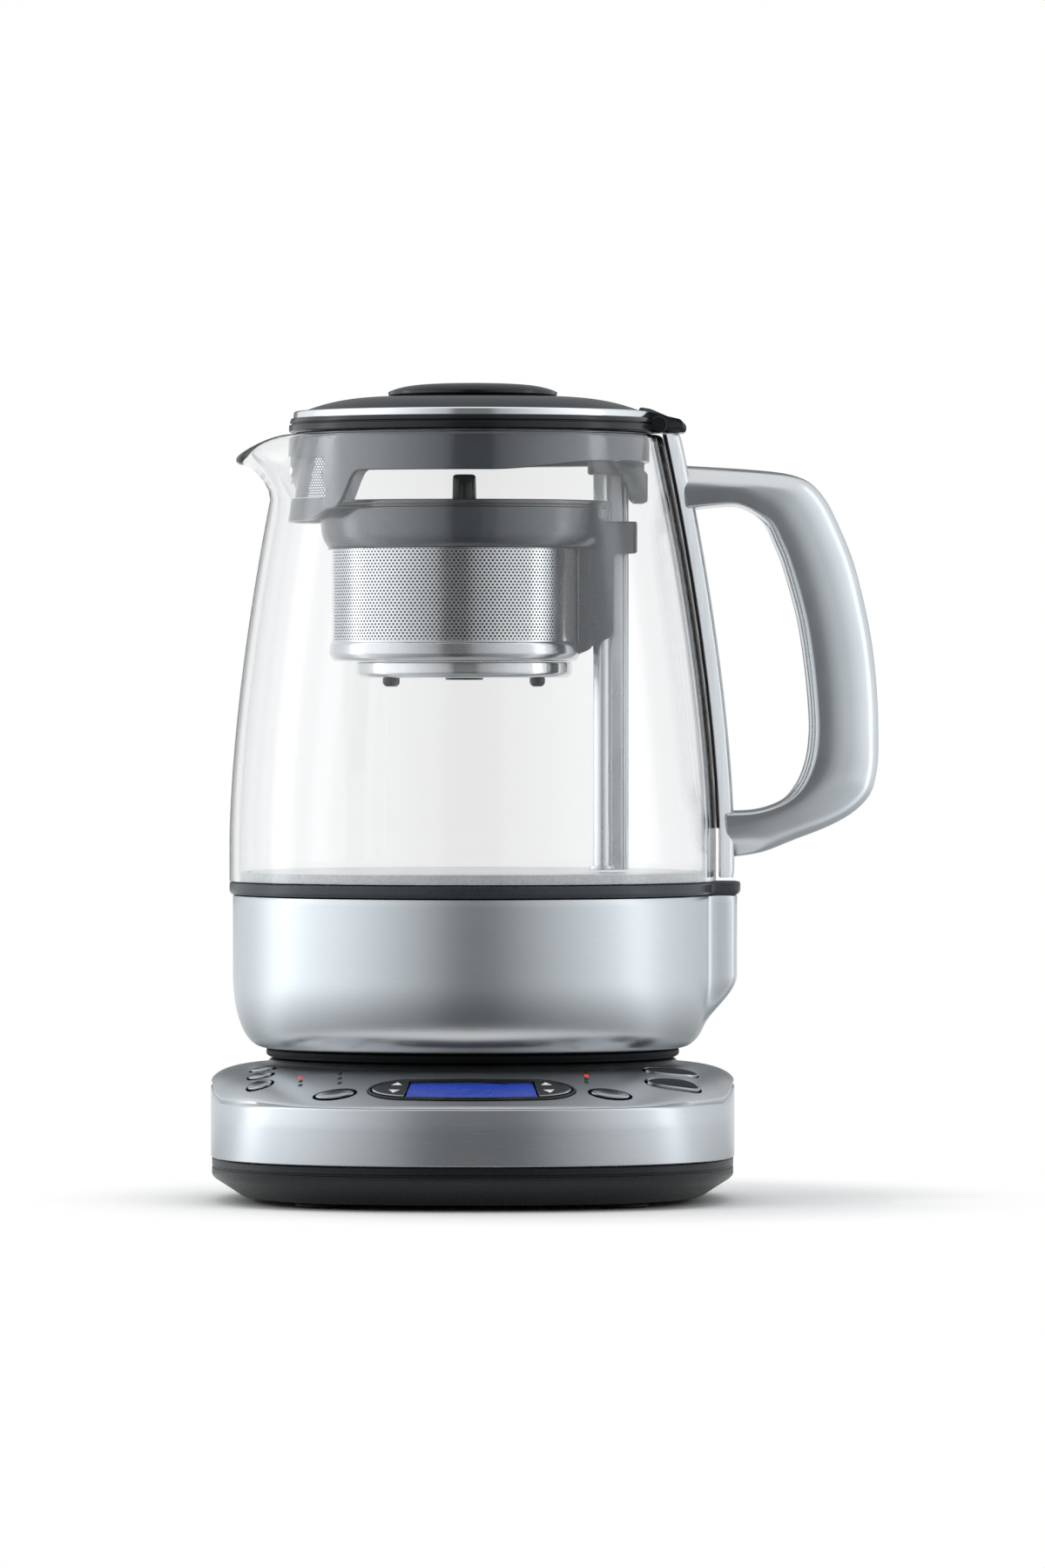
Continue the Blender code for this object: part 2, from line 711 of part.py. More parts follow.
SEAT_UNDER = SEAT_HEIGHT - HOUSING_WALL
WELL_FLOOR = SEAT_HEIGHT - WELL_DEPTH
CONNECTOR_OUTER = WELL_RADIUS - GAP
CONNECTOR_BOTTOM = WELL_FLOOR - CONNECTOR_WALL
TRAY_INSIDE = TRAY_BOTTOM + TRAY_FLOOR
BOARD_BOTTOM = BOARD_TOP - BOARD_THICK


def make_tray():
    outer = BASE_HALF - TRAY_INSET
    inner = outer - TRAY_WALL
    low = outer - TRAY_CHAMFER_WIDE
    bend = TRAY_BOTTOM + TRAY_CHAMFER_HIGH
    tray = loft("base_tray", base_rings((
        (low, TRAY_INSIDE), (inner, bend + TRAY_FLOOR), (inner, TRAY_TOP), (outer, TRAY_TOP),
        (outer, bend), (low, TRAY_BOTTOM))))
    put(tray, "base", "black_plastic")
    posts = []
    for name, place, radius, top in tray_posts():
        posts.append(rod(name, (*place, TRAY_INSIDE - OVERRUN), (*place, top), radius, PIN_STEPS))
    join(tray, group("tray_posts", posts))
    tower = box_section(CONNECTOR_OUTER - TOWER_WALL, CONNECTOR_OUTER,
                        TRAY_INSIDE - OVERRUN, CONNECTOR_BOTTOM - GAP)
    join(tray, turned("tray_tower", tower, 32, closed=True))
    holes = []
    seat = TRAY_BOTTOM + SCREW_HEAD_HIGH + 2 * GAP
    for x, y in corners_at(BOARD_INNER - SCREW_CLEAR):
        holes.append(rod("head_hole", (x, y, TRAY_BOTTOM - OVERRUN), (x, y, seat),
                         SCREW_HEAD_RADIUS + GAP, SMALL_STEPS))
    cut(tray, group("screw_heads", holes))
    holes = [rod("shank_hole", (x, y, TRAY_BOTTOM), (x, y, TRAY_INSIDE + OVERRUN),
                 SCREW_SHANK_RADIUS + GAP, PIN_STEPS) for x, y in corners_at(BOARD_INNER - SCREW_CLEAR)]
    cut(tray, group("screw_shanks", holes))
    hole = rod("inlet_hole", (0, BASE_HALF - INLET_LENGTH - OVERRUN, INLET_HEIGHT),
               (0, BASE_HALF + OVERRUN, INLET_HEIGHT), INLET_RADIUS + GAP)
    cut(tray, hole)


def power_board_ends():
    """Front and rear of the power board, behind the connector's well."""
    return WELL_RADIUS + POWER_BOARD_FRONT, BASE_HALF - POWER_BOARD_REAR


def tray_posts():
    """Posts under the two boards: name, place, radius and top."""
    posts = []
    middle = (BOARD_INNER + BASE_HALF) / 2
    for i, share in enumerate(BOARD_POST_SHARES):
        angle = -math.pi / 2 + BOARD_HALF_LONG / PANEL_MIDDLE * share
        place = (middle * math.cos(angle), middle * math.sin(angle))
        posts.append((f"board_post_{i}", place, BOARD_POST_RADIUS, BOARD_BOTTOM - GAP))
    low_y, high_y = power_board_ends()
    middle, deep = (low_y + high_y) / 2, high_y - low_y
    for x in (-1, 1):
        for y in (-1, 1):
            place = (x * POWER_BOARD_WIDE * POST_SHARE, middle + y * deep * POST_SHARE)
            posts.append(("power_post", place, BOARD_POST_RADIUS, POWER_BOARD_Z - GAP))
    return posts


def make_housing():
    rings = []
    for radius, height in ((WELL_RADIUS, SEAT_HEIGHT), (SEAT_RADIUS, SEAT_HEIGHT)):
        rings.append([(radius * math.cos(a), radius * math.sin(a), height) for a in BASE_ANGLES])
    for share in PANEL_SHARES:
        ring = []
        for angle in BASE_ANGLES:
            reach = RING_RADIUS + (base_reach(angle, BASE_HALF) - RING_RADIUS) * share
            ring.append((reach * math.cos(angle), reach * math.sin(angle),
                         panel_drop(angle, share)))
        rings.append(ring)
    rings += base_rings(((BASE_HALF, HOUSING_BOTTOM),))
    housing = loft("base_housing", rings, caps=False)
    solidify(housing, HOUSING_WALL)
    put(housing, "base", "brushed_steel")
    bosses = [rod("boss", (x, y, TRAY_INSIDE + GAP), (x, y, SEAT_HEIGHT - HOUSING_WALL / 2),
                  BOSS_RADIUS, PIN_STEPS) for x, y in corners_at(BOARD_INNER - SCREW_CLEAR)]
    join(housing, group("screw_bosses", bosses))
    pilots = [rod("pilot", (x, y, TRAY_INSIDE - OVERRUN), (x, y, TRAY_BOTTOM + SCREW_LENGTH + 2 * GAP),
                  SCREW_SHANK_RADIUS + GAP, PIN_STEPS) for x, y in corners_at(BOARD_INNER - SCREW_CLEAR)]
    cut(housing, group("pilot_holes", pilots))
    holes = []
    for name, place, half, turn in BUTTONS:
        centre = display_plan(*place)
        holes.append(plug(name + "_hole", lambda grow, c=centre, h=half, t=turn: oval(c, h, t, grow),
                          ((RUNNING_GAP, CUT_REACH), (RUNNING_GAP, -CUT_REACH))))
    for name, columns, pitch, count in LIGHTS:
        for place in light_places(columns, pitch, count):
            holes.append(rod("light_hole", on_panel(place, CUT_REACH), on_panel(place, -CUT_REACH),
                             LIGHT_RADIUS + GAP, PIN_STEPS))
    long, high = FRAME_HALF_LONG + GAP, FRAME_HALF_HIGH + GAP
    right = end_stations(0, long)
    middle = [s * (long - END_LONG) for s in STRAIGHT_SHARES[1:]]
    stations = [-s for s in reversed(right[1:])] + [-s for s in reversed(middle)]
    stations += [0.0] + middle + right[1:]
    holes.append(strip("display_hole", sorted(set(stations)),
                       lambda along: end_half(along, long, high), -CUT_REACH, CUT_REACH))
    cut(housing, group("panel_holes", holes))


def make_display():
    frame = loft("display_frame", [
        display_loop(0, FRAME_PROUD), display_loop(0, -FRAME_DEPTH),
        display_loop(-FRAME_WALL, -FRAME_DEPTH), display_loop(-FRAME_WALL, FRAME_PROUD)],
        closed=True)
    put(frame, "base", "black_plastic")
    half = FRAME_HALF_HIGH - FRAME_WALL - GAP
    stations = [LENS_HALF_LONG * s for s in LENS_SHARES]
    lens = strip("display_lens", stations, lambda along: half, LENS_PROUD - LENS_THICK, LENS_PROUD)
    put(lens, "base", "glass")
    under = LENS_PROUD - LENS_THICK - GAP
    screen = strip("lcd_module", stations, lambda along: half, under - LCD_THICK, under)
    put(screen, "base", "screen")


def rocker_axis(side):
    """Middle of a rocker, just under the panel, on its tilt axis."""
    along = side * (LENS_HALF_LONG + FRAME_HALF_LONG) / 2
    return on_panel(display_plan(along, 0), -ROCKER_DEPTH / 2)


def make_rocker(name, side):
    inset = FRAME_WALL + RUNNING_GAP
    long, high = FRAME_HALF_LONG - inset, FRAME_HALF_HIGH - inset
    start = LENS_HALF_LONG + RUNNING_GAP
    stations = [side * s for s in end_stations(start, long)]
    rocker = strip(name, stations, lambda along: end_half(along, long, high),
                   -ROCKER_DEPTH, ROCKER_PROUD)
    axis = rocker_axis(side)
    add_body(name, "base", axis)
    rocker.data.transform(Matrix.Translation(-axis))
    put(rocker, name, "slate_plastic", axis)


def button_levels():
    top_of_flange = -(HOUSING_WALL + BUTTON_PLAY)
    return ((-BUTTON_CROWN_IN, BUTTON_PROUD), (0, BUTTON_PROUD - BUTTON_CROWN),
            (0, top_of_flange), (BUTTON_FLANGE, top_of_flange),
            (BUTTON_FLANGE, top_of_flange - BUTTON_FLANGE_THICK))


def make_button(name, place, half, turn):
    levels = button_levels()
    centre = display_plan(*place)
    button = plug(name, lambda grow: oval(centre, half, turn, grow), levels)
    axis = on_panel(centre, 0)
    way = panel_normal(*centre)
    add_body(name, "base", axis)
    button.data.transform(Matrix.Translation(-axis))
    put(button, name, "polished_steel", axis)
    under = levels[-1][1]
    join(button, rod(name + "_stem", way * (under + BUTTON_FLANGE_THICK / 2),
                     way * (under - BUTTON_STEM_LENGTH), BUTTON_STEM_RADIUS, PIN_STEPS))


def make_light(name, columns, pitch, count):
    half = pitch * (count - 1) / 2 + LIGHT_RADIUS + LIGHT_BAR_MARGIN
    side = LIGHT_RADIUS + LIGHT_BAR_MARGIN
    (x0, y0), (x1, y1) = display_plan(*columns[0]), display_plan(*columns[-1])
    corners = ((x0 - side, y0 - half), (x1 + side, y1 - half), (x1 + side, y1 + half),
               (x0 - side, y0 + half))
    top = -LIGHT_BAR_DEPTH + LIGHT_BAR_THICK
    bar = loft(name, [[on_panel(c, top) for c in corners],
                      [on_panel(c, -LIGHT_BAR_DEPTH) for c in corners]])
    put(bar, "base", "light_pipe")
    pips = [rod("pip", on_panel(p, LENS_PROUD), on_panel(p, top - LIGHT_BAR_THICK / 2), LIGHT_RADIUS,
                PIN_STEPS) for p in light_places(columns, pitch, count)]
    join(bar, group(name + "_pips", pips))


def make_control_board():
    reach, span = BASE_HALF - HOUSING_WALL - BOARD_CLEAR, BOARD_HALF_LONG / PANEL_MIDDLE
    outline = []
    for i in range(BOARD_STEPS + 1):
        angle = -math.pi / 2 + span * (2 * i / BOARD_STEPS - 1)
        far = base_reach(angle, reach)
        outline.append((far * math.cos(angle), far * math.sin(angle)))
    for i in range(BOARD_STEPS + 1):
        angle = -math.pi / 2 + span * (1 - 2 * i / BOARD_STEPS)
        outline.append((BOARD_INNER * math.cos(angle), BOARD_INNER * math.sin(angle)))
    board = loft("control_board", [[(x, y, BOARD_TOP) for x, y in outline],
                                   [(x, y, BOARD_BOTTOM) for x, y in outline]])
    put(board, "base", "board")
    switches = []
    for name, place, half, turn in BUTTONS:
        stem_end = on_panel(display_plan(*place), button_levels()[-1][1] - BUTTON_STEM_LENGTH)
        top = stem_end.z - BUTTON_TRAVEL - BUTTON_STEM_RADIUS
        place = (stem_end.x, stem_end.y)
        switches.append(rod("switch", (*place, top), (*place, BOARD_TOP - BOARD_THICK / 2),
                            SWITCH_RADIUS, PIN_STEPS))
    join(board, group("switches", switches))


def make_power_board():
    low_y, high_y = power_board_ends()
    half = POWER_BOARD_WIDE / 2
    top = POWER_BOARD_Z + BOARD_THICK
    board = block("power_board", (-half, low_y, POWER_BOARD_Z), (half, high_y, top))
    put(board, "base", "board")
    inset = BOARD_THICK
    relay = block("relay", (-half + inset, low_y + inset, top - inset / 2),
                  (-half + inset + RELAY_SIZE, low_y + inset + RELAY_SIZE, top + RELAY_HIGH))
    coil = block("coil", (half - inset - COIL_SIZE, low_y + inset, top - inset / 2),
                 (half - inset, low_y + inset + COIL_SIZE, top + COIL_HIGH))
    join(board, group("power_board_parts", (relay, coil)))


def make_base():
    add_body("base")
    for i, (x, y) in enumerate(corners_at(foot_radius())):
        pad = turned("foot_" + CORNER_NAMES[i], [
            (0, TRAY_BOTTOM - GAP), (FOOT_RADIUS, TRAY_BOTTOM - GAP),
            (FOOT_RADIUS, FOOT_PAD / 2), (FOOT_RADIUS - FOOT_PAD / 2, 0), (0, 0)], SMALL_STEPS)
        put(pad, "base", "rubber", (x, y, 0))
    make_tray()
    for i, (x, y) in enumerate(corners_at(BOARD_INNER - SCREW_CLEAR)):
        top = TRAY_BOTTOM + SCREW_HEAD_HIGH
        head = turned("tray_screw_" + CORNER_NAMES[i], [
            (0, TRAY_BOTTOM + SCREW_LENGTH), (SCREW_SHANK_RADIUS, TRAY_BOTTOM + SCREW_LENGTH),
            (SCREW_SHANK_RADIUS, top), (SCREW_HEAD_RADIUS, top),
            (SCREW_HEAD_RADIUS, TRAY_BOTTOM), (0, TRAY_BOTTOM)], PIN_STEPS)
        put(head, "base", "polished_steel", (x, y, 0))
    make_housing()
    connector = turned("base_connector", [
        (0, PIN_TOP), (PIN_RADIUS, PIN_TOP), (PIN_RADIUS, WELL_FLOOR),
        (CONNECTOR_OUTER - CONNECTOR_WALL, WELL_FLOOR),
        (CONNECTOR_OUTER - CONNECTOR_WALL, SEAT_HEIGHT), (CONNECTOR_OUTER, SEAT_HEIGHT),
        (CONNECTOR_OUTER, CONNECTOR_BOTTOM), (0, CONNECTOR_BOTTOM)], 32)
    put(connector, "base", "black_plastic")
    make_display()
    make_rocker("rocker_left", -1)
    make_rocker("rocker_right", 1)
    for button in BUTTONS:
        make_button(*button)
    for light in LIGHTS:
        make_light(*light)
    make_control_board()
    make_power_board()
    outside = BASE_HALF - TRAY_INSET
    inlet = rod("cord_inlet", (0, outside, INLET_HEIGHT),
                (0, outside - INLET_LENGTH, INLET_HEIGHT), INLET_RADIUS)
    put(inlet, "base", "rubber")
    cut(inlet, rod("cord_bore", (0, BASE_HALF + OVERRUN, INLET_HEIGHT),
                   (0, outside - INLET_LENGTH - OVERRUN, INLET_HEIGHT), INLET_BORE))
    add_body("connector_shutter", "base")
    shutter = turned("connector_shutter", box_section(
        PIN_RADIUS + RUNNING_GAP, SHUTTER_RADIUS, WELL_FLOOR + GAP, SHUTTER_TOP), 24, closed=True)
    put(shutter, "connector_shutter", "black_plastic")


def glass_radius(height):
    """Outer radius of the glass, leaving its spout aside."""
    share = max(0, (height - GLASS_WAIST_HEIGHT) / (GLASS_TOP - GLASS_WAIST_HEIGHT))
    return GLASS_BOTTOM_RADIUS - (GLASS_BOTTOM_RADIUS - GLASS_TOP_RADIUS) * share ** GLASS_CURVE


def bulge_share(angle):
    """1 across the handle-side bulge, 0 round the rest of the jug."""
    off = abs(math.remainder(angle, math.tau))
    return 1 - blend(off, BULGE_FLAT_ANGLE, BULGE_END_ANGLE)


def jug_ring(radius, height, reach=0):
    """A ring of the jug, drawn out to reach at the handle side."""
    ring = []
    for angle in JUG_ANGLES:
        out = radius + max(0, reach - radius) * bulge_share(angle)
        ring.append((out * math.cos(angle), out * math.sin(angle), height))
    return ring


def stadium(left, right, half, grow=0, steps=4):
    """Outline with rounded ends, drawn out along X."""
    radius = half + grow
    outline = []
    for centre, start in ((right - half, -math.pi / 2), (left + half, math.pi / 2)):
        for i in range(steps + 1):
            angle = start + math.pi * i / steps
            outline.append((centre + radius * math.cos(angle), radius * math.sin(angle)))
    return outline


def prism(name, outline, high, low):
    """An upright solid of a plan outline."""
    return loft(name, [[(x, y, high) for x, y in outline], [(x, y, low) for x, y in outline]])


def slab(name, outline, half):
    """A solid of an outline in X and Z, as wide as twice the half on Y."""
    return loft(name, [[(x, half, z) for x, z in outline], [(x, -half, z) for x, z in outline]])


def inset_outline(outline, inset):
    """The outline drawn in by an inset, square to its run."""
    count = len(outline)
    area = sum(outline[i - 1][0] * outline[i][1] - outline[i][0] * outline[i - 1][1]
               for i in range(count))
    side = math.copysign(inset, area)
    moved = []
    for i in range(count):
        here = Vector(outline[i])
        run_in = (here - Vector(outline[i - 1])).normalized()
        run_out = (Vector(outline[(i + 1) % count]) - here).normalized()
        square = Vector((-run_in.y - run_out.y, run_in.x + run_out.x))
        moved.append(tuple(here + square * side / (1 + run_in.dot(run_out))))
    return moved


def rounded_slab(name, outline, half, corner):
    """A slab whose two side faces have rounded edges."""
    levels = [(corner * inset, half - corner * down) for inset, down in CORNER_SHARES]
    levels += [(inset, -y) for inset, y in reversed(levels)]
    return loft(name, [[(x, y, z) for x, z in inset_outline(outline, inset)]
                       for inset, y in levels])


GLASS_FOOT = BAND_TOP + GAP
GLASS_INSIDE = GLASS_BOTTOM_RADIUS - GLASS_WALL - GAP
SEAL_INNER = GLASS_INSIDE - SEAL_THICK
PLATE_RADIUS = SEAL_INNER - GAP
PLATE_UNDER = FLOOR_TOP - FLOOR_THICK
SOCKET_BOTTOM = SEAT_HEIGHT + GAP


def make_cup():
    rings = [jug_ring(CUP_RADIUS, CUP_TOP, BULGE_REACH)]
    for i in range(CUP_CURVE_STEPS + 1):
        turn = math.pi / 2 * i / CUP_CURVE_STEPS
        height = CUP_CURVE_TOP - (CUP_CURVE_TOP - CUP_BOTTOM) * math.sin(turn)
        radius = CUP_BOTTOM_RADIUS + (CUP_RADIUS - CUP_BOTTOM_RADIUS) * math.cos(turn)
        fade = blend(height, BULGE_FADE_BOTTOM, BULGE_FADE_TOP)
        rings.append(jug_ring(radius, height, radius + (BULGE_REACH - radius) * fade))
    rings.append(jug_ring(SOCKET_RADIUS + GAP, CUP_BOTTOM))
    cup = loft("steel_cup", rings, caps=False)
    solidify(cup, CUP_WALL)
    put(cup, "jug", "brushed_steel")
    foot = turned("jug_foot", box_section(
        JUG_FOOT_INNER, JUG_FOOT_RADIUS, SEAT_HEIGHT + GAP, CUP_BOTTOM - GAP, JUG_FOOT_CORNER),
        closed=True)
    put(foot, "jug", "black_plastic")
    corner = JUG_FOOT_CORNER
    band = loft("band_ring", [
        jug_ring(BAND_RADIUS - corner, BAND_TOP, BAND_REACH - corner),
        jug_ring(BAND_RADIUS, BAND_TOP - corner, BAND_REACH),
        jug_ring(BAND_RADIUS, BAND_BOTTOM, BAND_REACH),
        jug_ring(BAND_INNER, BAND_BOTTOM), jug_ring(BAND_INNER, BAND_TOP)], closed=True)
    put(band, "jug", "slate_plastic")


def make_glass():
    rings = []
    heights = [GLASS_TOP - (GLASS_TOP - SPOUT_START) * i / SPOUT_RINGS for i in range(SPOUT_RINGS)]
    heights += [SPOUT_START - (SPOUT_START - GLASS_FOOT) * i / GLASS_RINGS
                for i in range(GLASS_RINGS + 1)]
    for height in heights:
        share = max(0, (height - SPOUT_START) / (GLASS_TOP - SPOUT_START))
        ring = []
        for i in range(GLASS_STEPS):
            angle = math.tau * i / GLASS_STEPS
            off = abs(math.remainder(angle - math.pi, math.tau))
            pull = share * (1 - blend(off, 0, SPOUT_HALF_ANGLE))
            radius = glass_radius(height) + (SPOUT_REACH - GLASS_TOP_RADIUS) * pull
            ring.append((radius * math.cos(angle), radius * math.sin(angle),
                         height - SPOUT_DROP * pull))
        rings.append(ring)
    glass = loft("glass_body", rings, caps=False)
    solidify(glass, GLASS_WALL)
    put(glass, "jug", "glass")


def make_jug_floor():
    seal = turned("glass_seal", box_section(
        SEAL_INNER, GLASS_INSIDE, GLASS_FOOT, FLOOR_TOP - GAP), closed=True)
    put(seal, "jug", "silicone")
    lip = PLATE_RADIUS - FLOOR_THICK
    plate = turned("heater_plate", [
        (0, FLOOR_TOP), (PLATE_RADIUS, FLOOR_TOP), (PLATE_RADIUS, GLASS_FOOT),
        (lip, GLASS_FOOT), (lip, PLATE_UNDER), (0, PLATE_UNDER)])
    put(plate, "jug", "polished_steel")
    hole = rod("plate_hole", (SCREW_X, 0, PLATE_UNDER - OVERRUN), (SCREW_X, 0, FLOOR_TOP + OVERRUN),
               LEAD_RADIUS + RUNNING_GAP, PIN_STEPS)
    cut(plate, hole)
    centre = PLATE_UNDER - GAP - ELEMENT_TUBE
    path = []
    for i in range(ELEMENT_POINTS + 1):
        angle = math.pi - ELEMENT_SPAN / 2 + ELEMENT_SPAN * i / ELEMENT_POINTS
        path.append((ELEMENT_RADIUS * math.cos(angle), ELEMENT_RADIUS * math.sin(angle), centre))
    first, last = path[0], path[-1]
    path = [(*first[:2], centre - ELEMENT_TAIL)] + path + [(*last[:2], centre - ELEMENT_TAIL)]
    curve = bpy.data.curves.new("heating_element", "CURVE")
    curve.dimensions = "3D"
    curve.bevel_depth = ELEMENT_TUBE
    curve.bevel_resolution = 1
    curve.use_fill_caps = True
    line = curve.splines.new("POLY")
    line.points.add(len(path) - 1)
    for point, place in zip(line.points, path):
        point.co = (*place, 1)
    put(bpy.data.objects.new("heating_element", curve), "jug", "satin_alloy")
    probe = turned("temperature_probe", [
        (0, PLATE_UNDER - GAP), (PROBE_RADIUS, PLATE_UNDER - GAP),
        (PROBE_RADIUS, PLATE_UNDER - GAP - PROBE_HIGH / 2),
        (PROBE_RADIUS / 2, PLATE_UNDER - GAP - PROBE_HIGH / 2),
        (PROBE_RADIUS / 2, PLATE_UNDER - GAP - PROBE_HIGH), (0, PLATE_UNDER - GAP - PROBE_HIGH)],
        SMALL_STEPS)
    put(probe, "jug", "satin_alloy")
    top = PLATE_UNDER - GAP
    motor = rod("lift_motor", (0, 0, top), (0, 0, top - MOTOR_HIGH), MOTOR_RADIUS, SMALL_STEPS)
    put(motor, "jug", "satin_alloy", (SCREW_X, 0, 0))
    flange = SOCKET_RADIUS + SOCKET_FLANGE
    inside = CUP_BOTTOM + CUP_WALL + GAP
    bore = SHUTTER_RADIUS + RUNNING_GAP
    socket = turned("jug_connector", [
        (0, SOCKET_TOP), (SOCKET_RADIUS, SOCKET_TOP), (SOCKET_RADIUS, inside + SOCKET_ROOF),
        (flange, inside + SOCKET_ROOF), (flange, inside), (SOCKET_RADIUS, inside),
        (SOCKET_RADIUS, SOCKET_BOTTOM), (bore, SOCKET_BOTTOM),
        (bore, SOCKET_TOP - SOCKET_ROOF), (0, SOCKET_TOP - SOCKET_ROOF)], 24)
    put(socket, "jug", "black_plastic")


def make_post():
    outline = stadium(POST_LEFT, POST_RIGHT, POST_HALF_DEEP)
    bore = stadium(POST_LEFT + POST_WALL, POST_RIGHT - POST_WALL, POST_HALF_DEEP - POST_WALL)
    levels = ((outline, POST_TOP), (outline, FLOOR_TOP + GAP), (bore, FLOOR_TOP + GAP),
              (bore, POST_TOP - POST_WALL))
    post = loft("lift_post", [[(x, y, z) for x, y in shape] for shape, z in levels])
    put(post, "jug", "polished_steel")
    add_body("lead_screw", "jug", (SCREW_X, 0, 0))
    lead = turned("lead_screw", [
        (0, LEAD_TOP), (LEAD_RADIUS, LEAD_TOP), (LEAD_RADIUS, FLOOR_TOP + LEAD_COLLAR),
        (LEAD_DISC_RADIUS, FLOOR_TOP + LEAD_COLLAR), (LEAD_DISC_RADIUS, FLOOR_TOP + GAP),
        (LEAD_RADIUS, FLOOR_TOP + GAP), (LEAD_RADIUS, PLATE_UNDER), (0, PLATE_UNDER)],
        SMALL_STEPS)
    put(lead, "lead_screw", "polished_steel", (SCREW_X, 0, 0))
    add_body("magnet_carriage", "jug")
    slim = stadium(POST_LEFT + POST_WALL + GAP, POST_RIGHT - POST_WALL - GAP,
                   POST_HALF_DEEP - POST_WALL - GAP)
    middle = (COLLAR_TOP + COLLAR_BOTTOM) / 2
    high, low = middle + CARRIAGE_HIGH / 2, middle - CARRIAGE_HIGH / 2
    carriage = prism("magnet_carriage", slim, high, low)
    put(carriage, "magnet_carriage", "black_plastic")
    cut(carriage, rod("carriage_bore", (SCREW_X, 0, low - OVERRUN), (SCREW_X, 0, high + OVERRUN),
                      LEAD_RADIUS + GAP, SMALL_STEPS))


def make_basket():
    add_body("basket", "jug")
    centre = (BASKET_X, 0, 0)
    drum_centre = (BASKET_X + DRUM_SHIFT, 0, 0)
    inner = DRUM_RADIUS + GAP
    rim = turned("basket_rim", [
        (0, RIM_TOP), (RIM_RADIUS, RIM_TOP), (RIM_RADIUS, RIM_TOP - RIM_LIP),
        (RIM_RADIUS - RIM_LIP, RIM_BOTTOM), (0, RIM_BOTTOM)])
    put(rim, "basket", "smoke_plastic", centre)
    bore = turned("drum_bore", [
        (0, RIM_TOP + OVERRUN), (inner, RIM_TOP + OVERRUN),
        (inner, RIM_BOTTOM - OVERRUN), (0, RIM_BOTTOM - OVERRUN)])
    bore.location.x = DRUM_SHIFT
    cut(rim, bore)
    shift = -BASKET_X
    low, high = BRACKET_LEFT + shift, POST_RIGHT - POST_HALF_DEEP + shift
    arm = slab("bracket", [(low, COLLAR_TOP - RIM_LIP), (high, COLLAR_TOP - RIM_LIP),
                           (high, BRACKET_BOTTOM + BRACKET_SLANT), (low, BRACKET_BOTTOM)],
               BRACKET_HALF_DEEP)
    clear = DRUM_RADIUS + DRUM_FLARE + GAP
    room = turned("drum_clearance", [
        (0, RIM_TOP), (clear, RIM_TOP),
        (clear, BRACKET_BOTTOM - OVERRUN), (0, BRACKET_BOTTOM - OVERRUN)])
    room.location.x = DRUM_SHIFT
    cut(arm, room)
    join(rim, arm)
    join(rim, block("collar", (low + RIM_LIP, -COLLAR_HALF_DEEP, COLLAR_BOTTOM),
                    (COLLAR_RIGHT + shift, COLLAR_HALF_DEEP, COLLAR_TOP)))
    slot = [(x + shift, y) for x, y in stadium(POST_LEFT, POST_RIGHT, POST_HALF_DEEP, POST_CLEAR)]
    cut(rim, prism("post_slot", slot, RIM_TOP + OVERRUN, BRACKET_BOTTOM - OVERRUN))
    wide = DRUM_RADIUS + DRUM_FLARE
    drum = turned("basket_drum", [
        (0, DRUM_BOTTOM + DRUM_WALL), (DRUM_RADIUS - DRUM_WALL, DRUM_BOTTOM + DRUM_WALL),
        (DRUM_RADIUS - DRUM_WALL, DRUM_TOP), (DRUM_RADIUS, DRUM_TOP),
        (DRUM_RADIUS, DRUM_BAND_TOP), (wide, DRUM_BAND_TOP - DRUM_FLARE), (wide, DRUM_BOTTOM),
        (0, DRUM_BOTTOM)])
    put(drum, "basket", "brushed_steel", drum_centre)
    inside = BASKET_FOOT_RING - BASKET_FOOT_WALL
    base = turned("basket_base", [
        (0, BASKET_FOOT_BOTTOM + DRUM_WALL), (inside, BASKET_FOOT_BOTTOM + DRUM_WALL),
        (inside, BASKET_FOOT_TOP), (BASKET_FOOT_RING, BASKET_FOOT_TOP),
        (BASKET_FOOT_RING, BASKET_FOOT_BOTTOM), (0, BASKET_FOOT_BOTTOM)], 32)
    put(base, "basket", "polished_steel", centre)
    nubs = []
    for i in range(BASKET_NUBS):
        angle = math.tau * (i + 0.5) / BASKET_NUBS
        reach = inside - BASKET_NUB_RADIUS
        x, y = reach * math.cos(angle), reach * math.sin(angle)
        nubs.append(rod("nub", (x, y, BASKET_FOOT_BOTTOM + DRUM_WALL / 2), (x, y, BASKET_NUB_BOTTOM),
                        BASKET_NUB_RADIUS, PIN_STEPS))
    join(base, group("basket_nubs", nubs))
    add_body("basket_lid", "basket")
    low = BASKET_LID_TOP - BASKET_LID_THICK
    lid = turned("basket_lid", [
        (0, BASKET_LID_TOP), (DRUM_RADIUS - GAP, BASKET_LID_TOP), (DRUM_RADIUS - GAP, low),
        (0, low)])
    put(lid, "basket_lid", "brushed_steel", drum_centre)
    knob = turned("basket_knob", [
        (0, BASKET_KNOB_TOP), (BASKET_KNOB_RADIUS - GAP, BASKET_KNOB_TOP),
        (BASKET_KNOB_RADIUS, BASKET_KNOB_TOP - OVERRUN),
        (BASKET_KNOB_RADIUS, BASKET_LID_TOP + GAP), (0, BASKET_LID_TOP + GAP)], SMALL_STEPS)
    put(knob, "basket_lid", "black_plastic", centre)


def column_inner(height):
    """X of the column's face towards the glass."""
    return glass_radius(height) + 2 * GASKET_GAP + GASKET_THICK


def column_outer(height):
    return column_inner(height) + COLUMN_THICK


def column_heights():
    span = GLASS_TOP - COLUMN_BOTTOM
    return [GLASS_TOP - span * i / COLUMN_SECTIONS for i in range(COLUMN_SECTIONS + 1)]


